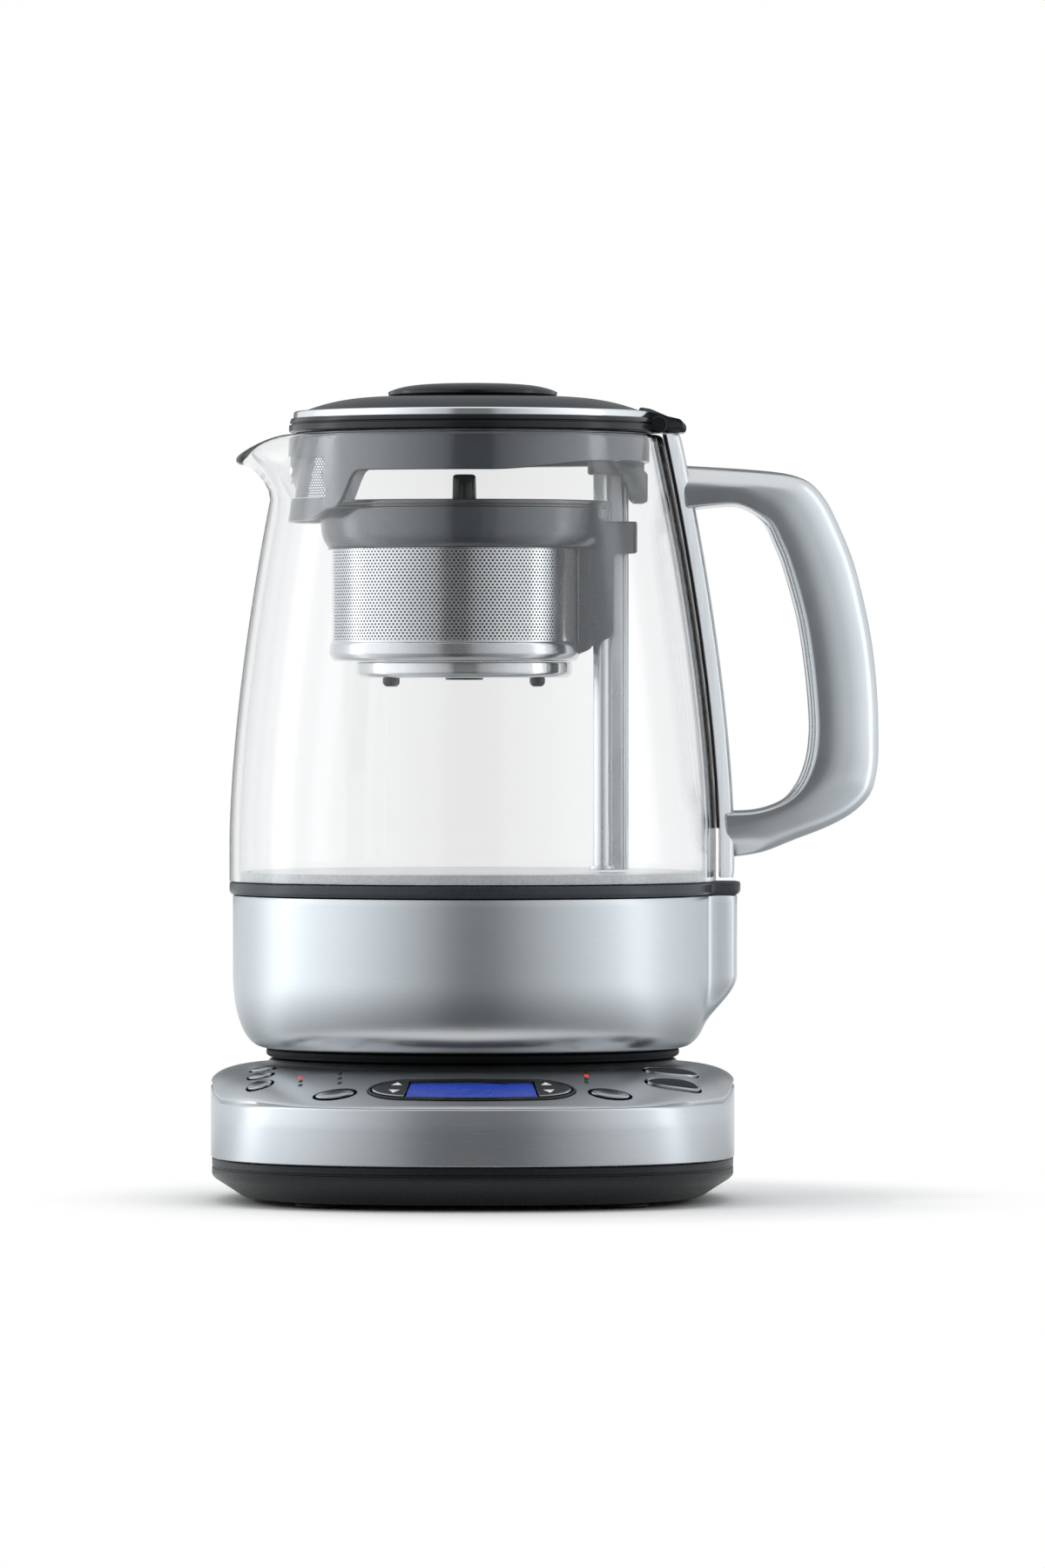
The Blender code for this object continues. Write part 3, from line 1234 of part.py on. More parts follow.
def arch_points(shares):
    wide, high = ARCH_REACH - ARCH_LEFT, ARCH_HIGH - ARCH_LOW
    return [(ARCH_LEFT + x * wide, ARCH_LOW + z * high) for x, z in shares]


def off_column(points):
    """Points along the arch, its ends held clear of the column and none between them too near it."""
    def face(point):
        return column_outer(point[1]) + GAP

    between = [p for p in points[1:-1] if p[0] > face(p) + ARCH_END_RUN]
    first, last = ((max(p[0], face(p)), p[1]) for p in (points[0], points[-1]))
    return [first] + between + [last]


def grip_line(shift):
    """The inner edge of the arch along the grip, moved into the arch by a shift."""
    points = arch_points(ARCH_INNER_SHARES)[GRIP_FIRST - 1:GRIP_LAST + 2]
    moved = []
    for i in range(1, len(points) - 1):
        way_x, way_z = points[i + 1][0] - points[i - 1][0], points[i + 1][1] - points[i - 1][1]
        size = math.hypot(way_x, way_z)
        moved.append((points[i][0] - way_z / size * shift, points[i][1] + way_x / size * shift))
    return moved


def drawn_out(line, length):
    """A line with its two ends moved outward along it by a length."""
    first, last = (Vector(end) + (Vector(end) - Vector(beside)).normalized() * length
                   for end, beside in ((line[0], line[1]), (line[-1], line[-2])))
    return [tuple(first)] + line[1:-1] + [tuple(last)]


def grip_solid(name, near, far, half, longer=0):
    """A slab that lines the inner side of the arch."""
    lines = [drawn_out(grip_line(shift), longer) for shift in (near, far)]
    return slab(name, lines[0] + list(reversed(lines[1])), half)


def make_handle():
    half, corner = COLUMN_HALF, COLUMN_CORNER
    sections = []
    for height in column_heights():
        inner, outer = column_inner(height), column_outer(height)
        sections.append([(x, y, height) for x, y in (
            (inner, -half), (outer - corner, -half), (outer, corner - half),
            (outer, half - corner), (outer - corner, half), (inner, half))])
    column = loft("handle_column", sections)
    put(column, "jug", "satin_alloy")
    sections = []
    for height in column_heights()[:-1]:
        near = glass_radius(height) + GASKET_GAP
        far, side = near + GASKET_THICK, GASKET_HALF
        sections.append([(x, y, height) for x, y in (
            (near, -side), (far, -side), (far, side), (near, side))])
    gasket = loft("column_gasket", sections)
    put(gasket, "jug", "black_plastic")
    outer = off_column(arch_points(ARCH_OUTER_SHARES))
    inner = off_column(arch_points(ARCH_INNER_SHARES))
    outline = outer + list(reversed(inner))
    arch = rounded_slab("handle_arch", outline, ARCH_HALF, ARCH_ROUND)
    put(arch, "jug", "satin_alloy")
    cut(arch, grip_solid("grip_seat", -OVERRUN, GRIP_THICK + GAP, GRIP_HALF + GAP, GAP))
    put(grip_solid("handle_grip", 0, GRIP_THICK, GRIP_HALF), "jug", "grip")
    length = COLUMN_THICK + HANDLE_SCREW_BITE_SHARE * (ARCH_REACH - ARCH_LEFT)
    for name, height in (("upper", HANDLE_SCREW_UPPER), ("lower", HANDLE_SCREW_LOWER)):
        start = column_inner(height) + GAP
        head, shank = HANDLE_SCREW_HEAD, HANDLE_SCREW_RADIUS
        fastener = turned("handle_screw_" + name, [
            (0, length), (shank, length),
            (shank, HANDLE_SCREW_HEAD_THICK), (head, HANDLE_SCREW_HEAD_THICK), (head, 0), (0, 0)],
            PIN_STEPS)
        fastener.data.transform(Matrix.Rotation(math.pi / 2, 4, "Y"))
        fastener.modifiers["turn"].axis = "X"
        put(fastener, "jug", "polished_steel", (start, 0, height))
        seat = start + HANDLE_SCREW_HEAD_THICK + GAP
        cut(column, rod(name + "_head_room", (start - COLUMN_THICK, 0, height), (seat, 0, height),
                        head + GAP, SMALL_STEPS))
        tip = start + length + GAP
        cut(column, rod(name + "_shank_room", (start, 0, height), (tip, 0, height), shank + GAP,
                        PIN_STEPS))
        cut(arch, rod(name + "_thread_room", (start, 0, height), (tip, 0, height), shank + GAP,
                      PIN_STEPS))


def dome_height(radius, edge):
    share = max(0, (radius - DOME_FLAT) / (edge - DOME_FLAT))
    return DOME_TOP - (DOME_TOP - DOME_EDGE_TOP) * share ** DOME_POWER


def skirt_bottom(off):
    """Bottom of the skirt, lower in the flap behind the spout."""
    share = min(max((FLAP_WIDE - off) / (FLAP_WIDE - FLAP_NARROW), 0), 1)
    return SKIRT_BOTTOM - (SKIRT_BOTTOM - FLAP_BOTTOM) * share


def skirt_point(angle, height, inset=0):
    off = abs(math.remainder(angle - math.pi, math.tau))
    out = max(0, SKIRT_BOTTOM - height) / (SKIRT_BOTTOM - FLAP_BOTTOM) * FLAP_OUT
    out *= 1 - blend(off, 0, SPOUT_HALF_ANGLE)
    radius = SKIRT_RADIUS + out - inset
    return radius * math.cos(angle), radius * math.sin(angle), max(height, skirt_bottom(off))


def make_lid_skirt():
    top = LID_REST - GAP
    rings = []
    for share in SKIRT_SHARES:
        ring = []
        for i in range(GLASS_STEPS):
            angle = math.tau * i / GLASS_STEPS
            low = skirt_bottom(abs(math.remainder(angle - math.pi, math.tau)))
            ring.append(skirt_point(angle, top + (low - top) * share))
        rings.append(ring)
    skirt = loft("lid_skirt", rings, caps=False)
    solidify(skirt, SKIRT_WALL)
    put(skirt, "lid", "smoke_plastic")
    inside = SKIRT_RADIUS - SKIRT_WALL / 2
    mouth = GLASS_TOP_RADIUS - GLASS_WALL - LIFT_CLEAR
    cheek_right = math.sqrt(mouth ** 2 - BLOCK_CHEEK_HALF ** 2)
    join(skirt, block("post_block", (BLOCK_LEFT, -BLOCK_HALF, BLOCK_STEP),
                      (inside - GAP, BLOCK_HALF, top - GAP)))
    join(skirt, block("post_cheek", (BLOCK_CHEEK_LEFT, -BLOCK_CHEEK_HALF, BLOCK_BOTTOM),
                      (cheek_right, BLOCK_CHEEK_HALF, SKIRT_BOTTOM + OVERRUN)))
    room = stadium(POST_LEFT, POST_RIGHT, POST_HALF_DEEP, POST_CLEAR)
    cut(skirt, prism("post_room", room, POST_TOP + POST_CLEAR, BLOCK_BOTTOM - OVERRUN))
    cut(skirt, window_patch("filter_window", 0, -WINDOW_REACH, WINDOW_REACH))
    middle = (SKIRT_WALL - FILTER_THICK) / 2
    put(window_patch("spout_filter", GAP, middle, middle + FILTER_THICK), "lid", "polished_steel")


def window_patch(name, shrink, outer_inset, inner_inset):
    """A curved plate in the strainer window, between two depths into the skirt."""
    half = WINDOW_HALF_ANGLE - shrink / SKIRT_RADIUS
    high, low = WINDOW_TOP - shrink, WINDOW_BOTTOM + shrink
    corners = ((high, outer_inset), (low, outer_inset), (low, inner_inset), (high, inner_inset))
    return loft(name, [[skirt_point(math.pi + half * s, height, inset)
                        for height, inset in corners] for s in WINDOW_SHARES])


def make_lid():
    add_body("lid", "jug", (0, 0, LID_REST))
    trim_outer = LID_EDGE_RADIUS - LID_EDGE_LIP - GAP
    dome_edge = trim_outer - TRIM_WIDE - GAP
    rim = turned("lid_rim", [
        (LID_EDGE_RADIUS, LID_EDGE_TOP), (LID_EDGE_RADIUS, LID_REST),
        (LID_LEDGE_RADIUS, LID_REST), (LID_LEDGE_RADIUS, LID_LEDGE_TOP),
        (LID_EDGE_RADIUS - LID_EDGE_LIP, LID_LEDGE_TOP),
        (LID_EDGE_RADIUS - LID_EDGE_LIP, LID_EDGE_TOP)], GLASS_STEPS, closed=True)
    put(rim, "lid", "slate_plastic", (0, 0, 0))
    tongue = [(TONGUE_LEFT, TONGUE_HIGH), (LID_EDGE_RADIUS, TONGUE_HIGH - TONGUE_STEP),
              (TONGUE_RIGHT, TONGUE_LOW), (TONGUE_RIGHT, LID_REST + MERGE),
              (TONGUE_LEFT, LID_REST + MERGE)]
    join(rim, slab("tongue", tongue, TONGUE_HALF))
    trim = turned("lid_trim", box_section(
        trim_outer - TRIM_WIDE, trim_outer, LID_LEDGE_TOP + GAP, TRIM_TOP), GLASS_STEPS, closed=True)
    put(trim, "lid", "polished_steel")
    radii = [DOME_FLAT + (dome_edge - DOME_FLAT) * i / DOME_STEPS for i in range(DOME_STEPS + 1)]
    outer = [(0, DOME_TOP)] + [(r, dome_height(r, dome_edge)) for r in radii]
    inner_edge = dome_edge - DOME_WALL
    inner = [(min(r, inner_edge), dome_height(r, dome_edge) - DOME_WALL) for r in reversed(radii)]
    low = LID_LEDGE_TOP + GAP
    profile = outer + [(dome_edge, low), (inner_edge, low)] + inner[1:] + [(0, DOME_TOP - DOME_WALL)]
    dome = turned("lid_dome", profile, GLASS_STEPS)
    put(dome, "lid", "smoke_plastic")
    for target in (trim, dome):
        cut(target, block(target.name + "_notch", (
            TONGUE_LEFT - GAP, -TONGUE_HALF - GAP, LID_REST), (
            TONGUE_RIGHT, TONGUE_HALF + GAP, DOME_TOP)))
    low = DOME_TOP + GAP
    profile = [(KNOB_RADIUS * s, KNOB_TOP - (KNOB_TOP - low - KNOB_EDGE) * s ** KNOB_POWER)
               for s in KNOB_SHARES]
    knob = turned("lid_knob", profile + [(KNOB_RADIUS, low), (0, low)])
    put(knob, "lid", "black_plastic")
    make_lid_skirt()


make_base()
add_body("jug", "connector_shutter")
make_cup()
make_glass()
make_jug_floor()
make_post()
make_basket()
make_handle()
make_lid()
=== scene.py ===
import math
from collections import namedtuple
import bpy
import bmesh
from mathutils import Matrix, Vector


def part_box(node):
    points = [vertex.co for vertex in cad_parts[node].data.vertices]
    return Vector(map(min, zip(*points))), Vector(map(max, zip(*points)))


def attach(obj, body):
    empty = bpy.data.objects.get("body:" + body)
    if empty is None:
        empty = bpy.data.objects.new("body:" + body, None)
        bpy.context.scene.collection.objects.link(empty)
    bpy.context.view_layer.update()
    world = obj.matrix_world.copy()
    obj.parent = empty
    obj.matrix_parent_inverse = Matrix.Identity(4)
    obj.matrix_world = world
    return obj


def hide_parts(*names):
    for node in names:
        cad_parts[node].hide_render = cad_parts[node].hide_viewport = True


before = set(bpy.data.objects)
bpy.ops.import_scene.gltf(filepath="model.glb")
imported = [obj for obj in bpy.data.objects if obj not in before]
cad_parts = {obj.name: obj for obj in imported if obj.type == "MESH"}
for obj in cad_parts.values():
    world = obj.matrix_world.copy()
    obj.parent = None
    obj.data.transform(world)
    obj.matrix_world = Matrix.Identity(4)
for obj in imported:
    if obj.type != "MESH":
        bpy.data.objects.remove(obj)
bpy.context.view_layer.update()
MM = 0.001
# A soft edge, and the radius at which a turned section meets its axis
THIN = 0.3 * MM
CORE = 0.01 * MM


def middle_x(node):
    low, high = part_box(node)
    return (low[0] + high[0]) / 2


AXIS_X = middle_x("jug_foot")

# Sizes of the jug
GLASS_TOP = 272 * MM
GLASS_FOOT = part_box("glass_body")[0][2]
GLASS_WALL = 3.6 * MM
GLASS_BOTTOM_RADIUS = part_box("glass_body")[1][1]
GLASS_TOP_RADIUS = 67.3 * MM
GLASS_WAIST = 127 * MM
GLASS_CURVE = 1.62
SPOUT_START = 250 * MM
SPOUT_OUT = 16.4 * MM
SPOUT_DROP = 11 * MM
SPOUT_HALF_ANGLE = math.radians(27)
SPOUT_PULL_POWER = 1.15
GLASS_ROWS = 44
LIP_STEPS = 8
CUP_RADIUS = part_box("steel_cup")[1][1]
CUP_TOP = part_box("steel_cup")[1][2]
CUP_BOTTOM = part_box("steel_cup")[0][2]
CUP_BOTTOM_RADIUS = 72.5 * MM
CUP_CURVE_TOP = 80 * MM
CUP_WALL = 1 * MM
CUP_HOLE = 20.3 * MM
CUP_LIP = 3 * MM
CUP_CURVE_STEPS = 24
CUP_CURVE_POWER = 0.8
BULGE_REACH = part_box("steel_cup")[1][0] - AXIS_X
BULGE_FLAT = math.radians(8)
BULGE_END = math.radians(12.5)
BULGE_FADE = (62 * MM, 80 * MM)
BAND_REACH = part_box("band_ring")[1][0] - AXIS_X
BAND_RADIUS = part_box("band_ring")[1][1]
BAND_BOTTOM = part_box("band_ring")[0][2]
BAND_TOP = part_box("band_ring")[1][2]
BAND_INNER = 74 * MM

# Sizes of the base
BASE_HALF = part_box("base_housing")[1][1]
BASE_POWER = 2.5
SEAT_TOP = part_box("base_housing")[1][2]
SEAT_RADIUS = 72 * MM
RING_RADIUS = 75 * MM
RING_HEIGHT = 48.5 * MM
CREASE_FRONT = 36.6 * MM
CREASE_BACK = 42 * MM
CREASE_RISE = (-40 * MM, -16 * MM)
PANEL_FLAT_ANGLE = math.radians(30)
PANEL_ROUND_ANGLE = math.radians(70)
HOUSING_BOTTOM = 16 * MM
HOUSING_WALL = 1.2 * MM
WELL_RADIUS = 24 * MM
WELL_DEEP = 4 * MM
PROBE = 0.2 * MM


# Finishes
def set_sockets(node, sockets):
    """Values by the names of their sockets, with spaces as underscores."""
    for socket, value in sockets.items():
        node.inputs[socket.replace("_", " ")].default_value = value


def add_node(look, kind, **sockets):
    node = look.node_tree.nodes.new("ShaderNode" + kind)
    set_sockets(node, sockets)
    return node


def join(look, source, target):
    look.node_tree.links.new(source, target)


def principled(look):
    return look.node_tree.nodes["Principled BSDF"]


def show(look, output):
    """Sends a shader to the surface."""
    join(look, output, look.node_tree.nodes["Material Output"].inputs["Surface"])


def finish_nodes(name, colour, roughness, metallic=0.0, **sockets):
    """A Principled material; more sockets as in set_sockets."""
    look = bpy.data.materials.new(name)
    look.use_nodes = True
    set_sockets(principled(look), {"Base_Color": (*colour, 1), "Roughness": roughness,
                                   "Metallic": metallic, **sockets})
    return look


def noise_over(look, scale, detail=4.0, across=(1, 1, 1), turned_round=False):
    """A noise texture in the object's own space, stretched by a scale on each axis."""
    place = add_node(look, "TexCoord").outputs["Object"]
    if turned_round:
        shift, split = add_node(look, "VectorMath"), add_node(look, "SeparateXYZ")
        angle, flat = add_node(look, "Math"), add_node(look, "CombineXYZ")
        shift.operation, angle.operation = "SUBTRACT", "ARCTAN2"
        shift.inputs[1].default_value = (AXIS_X, 0, 0)
        join(look, place, shift.inputs[0])
        join(look, shift.outputs[0], split.inputs[0])
        join(look, split.outputs["Y"], angle.inputs[0])
        join(look, split.outputs["X"], angle.inputs[1])
        join(look, angle.outputs[0], flat.inputs["X"])
        join(look, split.outputs["Z"], flat.inputs["Z"])
        place = flat.outputs[0]
    mapping = add_node(look, "Mapping", Scale=across)
    noise = add_node(look, "TexNoise", Scale=scale, Detail=detail)
    join(look, place, mapping.inputs["Vector"])
    join(look, mapping.outputs[0], noise.inputs["Vector"])
    return noise.outputs["Fac"]


NOISE_SPAN = (0.3, 0.7)
STREAK_DEPTH = 0.02 * MM
GRAIN_DEPTH = 0.03 * MM


def map_range(look, source, low, high, span=(0.0, 1.0)):
    node = add_node(look, "MapRange", From_Min=span[0], From_Max=span[1], To_Min=low, To_Max=high)
    join(look, source, node.inputs["Value"])
    return node


def vary_roughness(look, source, low, high):
    span = map_range(look, source, low, high, NOISE_SPAN)
    join(look, span.outputs[0], principled(look).inputs["Roughness"])


def ramp_colour(look, source, stops):
    """The base colour follows the source; stops are (place, colour)."""
    ramp = add_node(look, "ValToRGB")
    bands = ramp.color_ramp.elements
    while len(bands) < len(stops):
        bands.new(0.5)
    for band, (place, colour) in zip(bands, stops):
        band.position = place
    for band, (place, colour) in zip(bands, stops):
        band.color = (*colour, 1)
    join(look, source, ramp.inputs[0])
    join(look, ramp.outputs[0], principled(look).inputs["Base Color"])


def vary_colour(look, source, colour, spread):
    """The colour, darker and lighter by a share."""
    ramp_colour(look, source, list(zip(NOISE_SPAN, (shade(colour, 1 - spread), shade(colour, 1 + spread)))))


def raise_grain(look, source, strength, depth):
    bump = add_node(look, "Bump", Strength=strength, Distance=depth)
    join(look, source, bump.inputs["Height"])
    join(look, bump.outputs[0], principled(look).inputs["Normal"])


def shade(colour, share):
    return tuple(min(1.0, c * share) for c in colour)


def brushed(name, colour, roughness, across, turned_round=False, anisotropic=0.5, streak=0.02):
    """Steel with a fine grain that runs along the axes with a low scale."""
    look = finish_nodes(name, colour, roughness, 1.0, Anisotropic=anisotropic)
    grain = noise_over(look, 1.0, 3.0, across, turned_round)
    vary_colour(look, grain, colour, streak)
    vary_roughness(look, grain, roughness * 0.92, roughness * 1.1)
    raise_grain(look, grain, 0.05, STREAK_DEPTH)
    return look


def polished(name, colour, roughness, scale=60.0):
    """Smooth metal with faint clouds in its polish."""
    look = finish_nodes(name, colour, roughness, 1.0)
    clouds = noise_over(look, scale)
    vary_roughness(look, clouds, roughness * 0.8, roughness * 1.3)
    vary_colour(look, clouds, colour, 0.03)
    return look


def moulded(name, colour, roughness, grain_scale=900.0, grain=0.15, **sockets):
    """Plastic or rubber with a fine moulded grain."""
    look = finish_nodes(name, colour, roughness, 0.0, **sockets)
    source = noise_over(look, grain_scale, 2.0)
    vary_colour(look, source, colour, 0.1)
    vary_roughness(look, source, roughness * 0.85, roughness * 1.15)
    if grain:
        raise_grain(look, source, grain, GRAIN_DEPTH)
    return look


def tint_edges(look, colour, shares):
    """The colour times a share that follows how far the surface turns from the eye."""
    facing = add_node(look, "LayerWeight").outputs["Facing"]
    ramp_colour(look, facing, [(place, shade(colour, share)) for place, share in shares])


def let_light_through(look, colour):
    """Shadow rays pass, so that the light reaches what stands behind."""
    open_air = add_node(look, "BsdfTransparent", Color=(*colour, 1))
    both = add_node(look, "MixShader")
    join(look, add_node(look, "LightPath").outputs["Is Shadow Ray"], both.inputs[0])
    join(look, principled(look).outputs[0], both.inputs[1])
    join(look, open_air.outputs[0], both.inputs[2])
    show(look, both.outputs[0])


def clear(name, colour, roughness, ior, transmission, edges=(), clouds=25.0):
    """Glass or see-through plastic with a faint unevenness in its polish."""
    look = finish_nodes(name, colour, roughness, 0.0, IOR=ior, Transmission_Weight=transmission)
    source = noise_over(look, clouds, 2.0)
    vary_roughness(look, source, roughness * 0.6, roughness * 1.6)
    if edges:
        tint_edges(look, colour, edges)
    let_light_through(look, colour)
    return look


STEEL = (0.62, 0.64, 0.655)
GLASS_EDGES = ((0.0, 1.0), (0.55, 1.0), (0.7, 0.98), (0.85, 0.86), (0.97, 0.7))
LOOKS = {
    "cup": brushed("cup_brushed_steel", STEEL, 0.31, (3.5, 1, 6500), True, streak=0.035),
    "wall": brushed("wall_brushed_steel", (0.6, 0.615, 0.63), 0.25, (3.5, 1, 6500), True),
    # The top panel: the wall's brushed steel, brushed the other way, and darker than the wall as painted
    # shade
    "panel": brushed("panel_shaded_brushed_steel", (0.47, 0.48, 0.49), 0.34, (90, 5200, 90)),
    "drum": polished("drum_steel", (0.7, 0.705, 0.71), 0.16),
    "mesh": polished("mesh_steel", (0.82, 0.825, 0.83), 0.16),
    "mirror": polished("mirror_steel", (0.74, 0.745, 0.75), 0.07),
    "trim": polished("trim_chrome", (0.86, 0.87, 0.88), 0.1),
    "alloy": polished("handle_alloy", (0.66, 0.68, 0.695), 0.22, 30.0),
    "column": brushed("column_alloy", (0.62, 0.63, 0.64), 0.26, (900, 900, 12), False, 0.3, 0.06),
    "grip": polished("grip_satin", (0.84, 0.85, 0.86), 0.24),
    "fastener": polished("fastener_steel", (0.6, 0.6, 0.62), 0.3),
    "glass": clear("jug_clear_glass", (0.945, 0.945, 0.945), 0.01, 1.47, 1.0, GLASS_EDGES),
    "lens": clear("display_window", (0.9, 0.93, 0.97), 0.03, 1.45, 1.0),
    "skirt": moulded("skirt_slate_plastic", (0.035, 0.043, 0.052), 0.14, 500, 0, IOR=2.1),
    "dome": moulded("dome_slate_plastic", (0.014, 0.018, 0.022), 0.16, 500, 0, IOR=1.85),
    "basket": moulded("basket_slate_plastic", (0.03, 0.037, 0.045), 0.2, 700, 0, IOR=2.2),
    "rim": moulded("rim_dark_plastic", (0.005, 0.007, 0.009), 0.2, 700, 0, IOR=1.45),
    "knob": moulded("knob_black_plastic", (0.003, 0.0035, 0.0045), 0.15, 900, 0.02, IOR=1.5),
    "band": moulded("band_dark_plastic", (0.016, 0.02, 0.025), 0.3, 900, 0.06),
    "black": moulded("black_plastic", (0.006, 0.007, 0.008), 0.3, 900, 0.06),
    # A dark, partly see-through sheet inside the drum: painted shade for the drum's inside, seen through
    # the mesh holes
    "liner": moulded("drum_inner_painted_shade", (0.006, 0.006, 0.007), 0.7, 2500, 0, IOR=1.3, Alpha=0.85),
    "tray": moulded("tray_black_plastic", (0.004, 0.006, 0.008), 0.3, 900, 0,
                    Specular_IOR_Level=0.35),
    "rocker": moulded("rocker_grey_plastic", (0.03, 0.033, 0.037), 0.35, 1200, 0.1,
                      Specular_IOR_Level=0.25),
    "rubber": moulded("foot_black_rubber", (0.02, 0.02, 0.021), 0.8, 1500, 0.4),
    "silicone": moulded("seal_pale_silicone", (0.72, 0.74, 0.75), 0.35, 900, 0.05),
    "plate": polished("plate_steel_satin", (0.86, 0.87, 0.88), 0.35),
    "post": polished("post_steel_satin", (0.88, 0.89, 0.9), 0.3),
    # A pale sheet behind the filter that glows though it is no lamp: painted light seen through the
    # filter's holes
    "backing": moulded("filter_sheet_painted_light", (0.8, 0.81, 0.82), 0.5, 900, 0,
                       Emission_Color=(0.9, 0.95, 1, 1), Emission_Strength=0.7),
    # The jug's foot: partly its own black plastic, partly painted shade, made blacker and with little shine
    # to read as the shadow under the cup
    "seat": moulded("seat_black_shaded_plastic", (0.002, 0.0025, 0.003), 0.5, 900, 0,
                    Specular_IOR_Level=0.1),
    "board": moulded("board_green_mask", (0.015, 0.13, 0.05), 0.35, 400, 0.1),
    # Three tones of one button chrome: the mid and dark ones are a painted reflection that darkens the
    # middle of the domed caps
    "chrome": polished("button_chrome", (0.34, 0.355, 0.37), 0.12, 300.0),
    "chrome_mid": polished("button_chrome_painted_half_shade", (0.15, 0.157, 0.165), 0.16, 300.0),
    "chrome_dark": polished("button_chrome_painted_shade", (0.05, 0.053, 0.057), 0.22, 300.0),
    "dark_steel": moulded("button_dark_grey", (0.035, 0.038, 0.042), 0.5, 1800, 0.5,
                          Specular_IOR_Level=0.03),
    "arrow": moulded("arrow_white_print", (0.75, 0.76, 0.77), 0.5, 900, 0),
    "lamp_off": moulded("lamp_dark", (0.02, 0.022, 0.025), 0.25, 900, 0),
    "lamp_red": moulded("lamp_red", (0.6, 0.02, 0.015), 0.3, 900, 0,
                        Emission_Color=(0.9, 0.03, 0.02, 1), Emission_Strength=0.7),
    "screen": moulded("screen_blue", (0.004, 0.008, 0.05), 0.3, 300, 0,
                      Emission_Color=(0.01, 0.045, 0.36, 1)),
}


def glow_direct_only(look, strength):
    """No glow in what shiny parts reflect."""
    span = map_range(look, add_node(look, "LightPath").outputs["Glossy Depth"], strength, 0.0)
    join(look, span.outputs[0], principled(look).inputs["Emission Strength"])


glow_direct_only(LOOKS["screen"], 1.0)


# Mesh helpers; coordinates are about the jug's axis
def add(name, verts, faces, body, look, slot, nodes=(), sharp=40, looks=(), spread=None):
    """A new piece about the jug's axis, on a CAD body, standing for some CAD nodes."""
    mesh = bpy.data.meshes.new(name)
    mesh.from_pydata([tuple(v) for v in verts], [], faces)
    work = bmesh.new()
    work.from_mesh(mesh)
    bmesh.ops.remove_doubles(work, verts=work.verts, dist=1e-6)
    bmesh.ops.recalc_face_normals(work, faces=work.faces)
    bmesh.ops.translate(work, verts=work.verts, vec=(AXIS_X, 0, 0))
    work.to_mesh(mesh)
    work.free()
    return settle(bpy.data.objects.new(name, mesh), body, look, slot, nodes, sharp, looks, spread)


def settle(obj, body, look, slot, nodes=(), sharp=40, looks=(), spread=None):
    mesh = obj.data
    mesh.shade_smooth()
    mesh.set_sharp_from_angle(angle=math.radians(sharp))
    for key in (look, *looks):
        mesh.materials.append(LOOKS[key])
    if spread:
        for face in mesh.polygons:
            face.material_index = spread(face)
    if obj.name not in bpy.context.scene.collection.objects:
        bpy.context.scene.collection.objects.link(obj)
    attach(obj, body)
    if nodes:
        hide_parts(*nodes)
    return obj


def loft(rings, closed=False, caps=True):
    """Verts and faces of quads between rings; capped ends, or closed end to end."""
    count = len(rings[0])
    verts = [v for ring in rings for v in ring]
    faces = []
    for i in range(len(rings) if closed else len(rings) - 1):
        low, high = i * count, (i + 1) % len(rings) * count
        for j in range(count):
            k = (j + 1) % count
            faces.append((low + j, high + j, high + k, low + k))
    if caps and not closed:
        faces.append(tuple(range(count)))
        faces.append(tuple(reversed(range(len(verts) - count, len(verts)))))
    return verts, faces


def rounded(points, radius, steps=4, closed=True):
    """A section outline with its corners rounded. A third number is a point's own radius."""
    count = len(points)
    outline = []
    for i, point in enumerate(points):
        here = Vector(point[:2])
        own = point[2] if len(point) > 2 else radius
        if own == 0 or (not closed and i in (0, count - 1)):
            outline.append(tuple(here))
            continue
        before, after = Vector(points[i - 1][:2]), Vector(points[(i + 1) % count][:2])
        start = here + (before - here).normalized() * min(own, (before - here).length * 0.45)
        end = here + (after - here).normalized() * min(own, (after - here).length * 0.45)
        for k in range(steps + 1):
            t = k / steps
            outline.append(tuple(start * (1 - t) ** 2 + here * 2 * t * (1 - t) + end * t * t))
    return outline


def moved(part, x=0.0, y=0.0, z=0.0):
    verts, faces = part
    return [(u + x, v + y, w + z) for u, v, w in verts], faces


def both_sides(part, y):
    """The part twice, moved to each side by a length."""
    return [moved(part, y=side * y) for side in (-1, 1)]


def circle(radius, height, angles, centre=0.0):
    return [(centre + radius * math.cos(a), radius * math.sin(a), height) for a in angles]


def turned(profile, centre=0.0, steps=128, closed=True):
    """Verts and faces of a section of (radius, height) points turned round an upright axis."""
    angles = [math.tau * i / steps for i in range(steps)]
    rings = [circle(radius, height, angles, centre) for radius, height in profile]
    return loft(rings, closed, caps=not closed)


def merge(*parts):
    """Several (verts, faces) as one."""
    verts, faces = [], []
    for more_verts, more_faces in parts:
        start = len(verts)
        verts += list(more_verts)
        faces += [tuple(i + start for i in face) for face in more_faces]
    return verts, faces


def blend(value, low, high):
    share = min(max((value - low) / (high - low), 0), 1)
    return share * share * (3 - 2 * share)


def off_angle(angle, middle=0.0):
    return abs(math.remainder(angle - middle, math.tau))


def around(steps, extra=()):
    return sorted({math.tau * i / steps for i in range(steps)} | {a % math.tau for a in extra})


# The jug
def glass_radius(height):
    share = max(0, (height - GLASS_WAIST) / (GLASS_TOP - GLASS_WAIST))
    return GLASS_BOTTOM_RADIUS - (GLASS_BOTTOM_RADIUS - GLASS_TOP_RADIUS) * share ** GLASS_CURVE


def glass_point(angle, height):
    """Outer wall: the spout pulls it out, and down towards its tip."""
    share = max(0, (height - SPOUT_START) / (GLASS_TOP - SPOUT_START))
    pull = share ** SPOUT_PULL_POWER * (1 - blend(off_angle(angle, math.pi), 0, SPOUT_HALF_ANGLE))
    return glass_radius(height) + SPOUT_OUT * pull, height - SPOUT_DROP * pull * pull


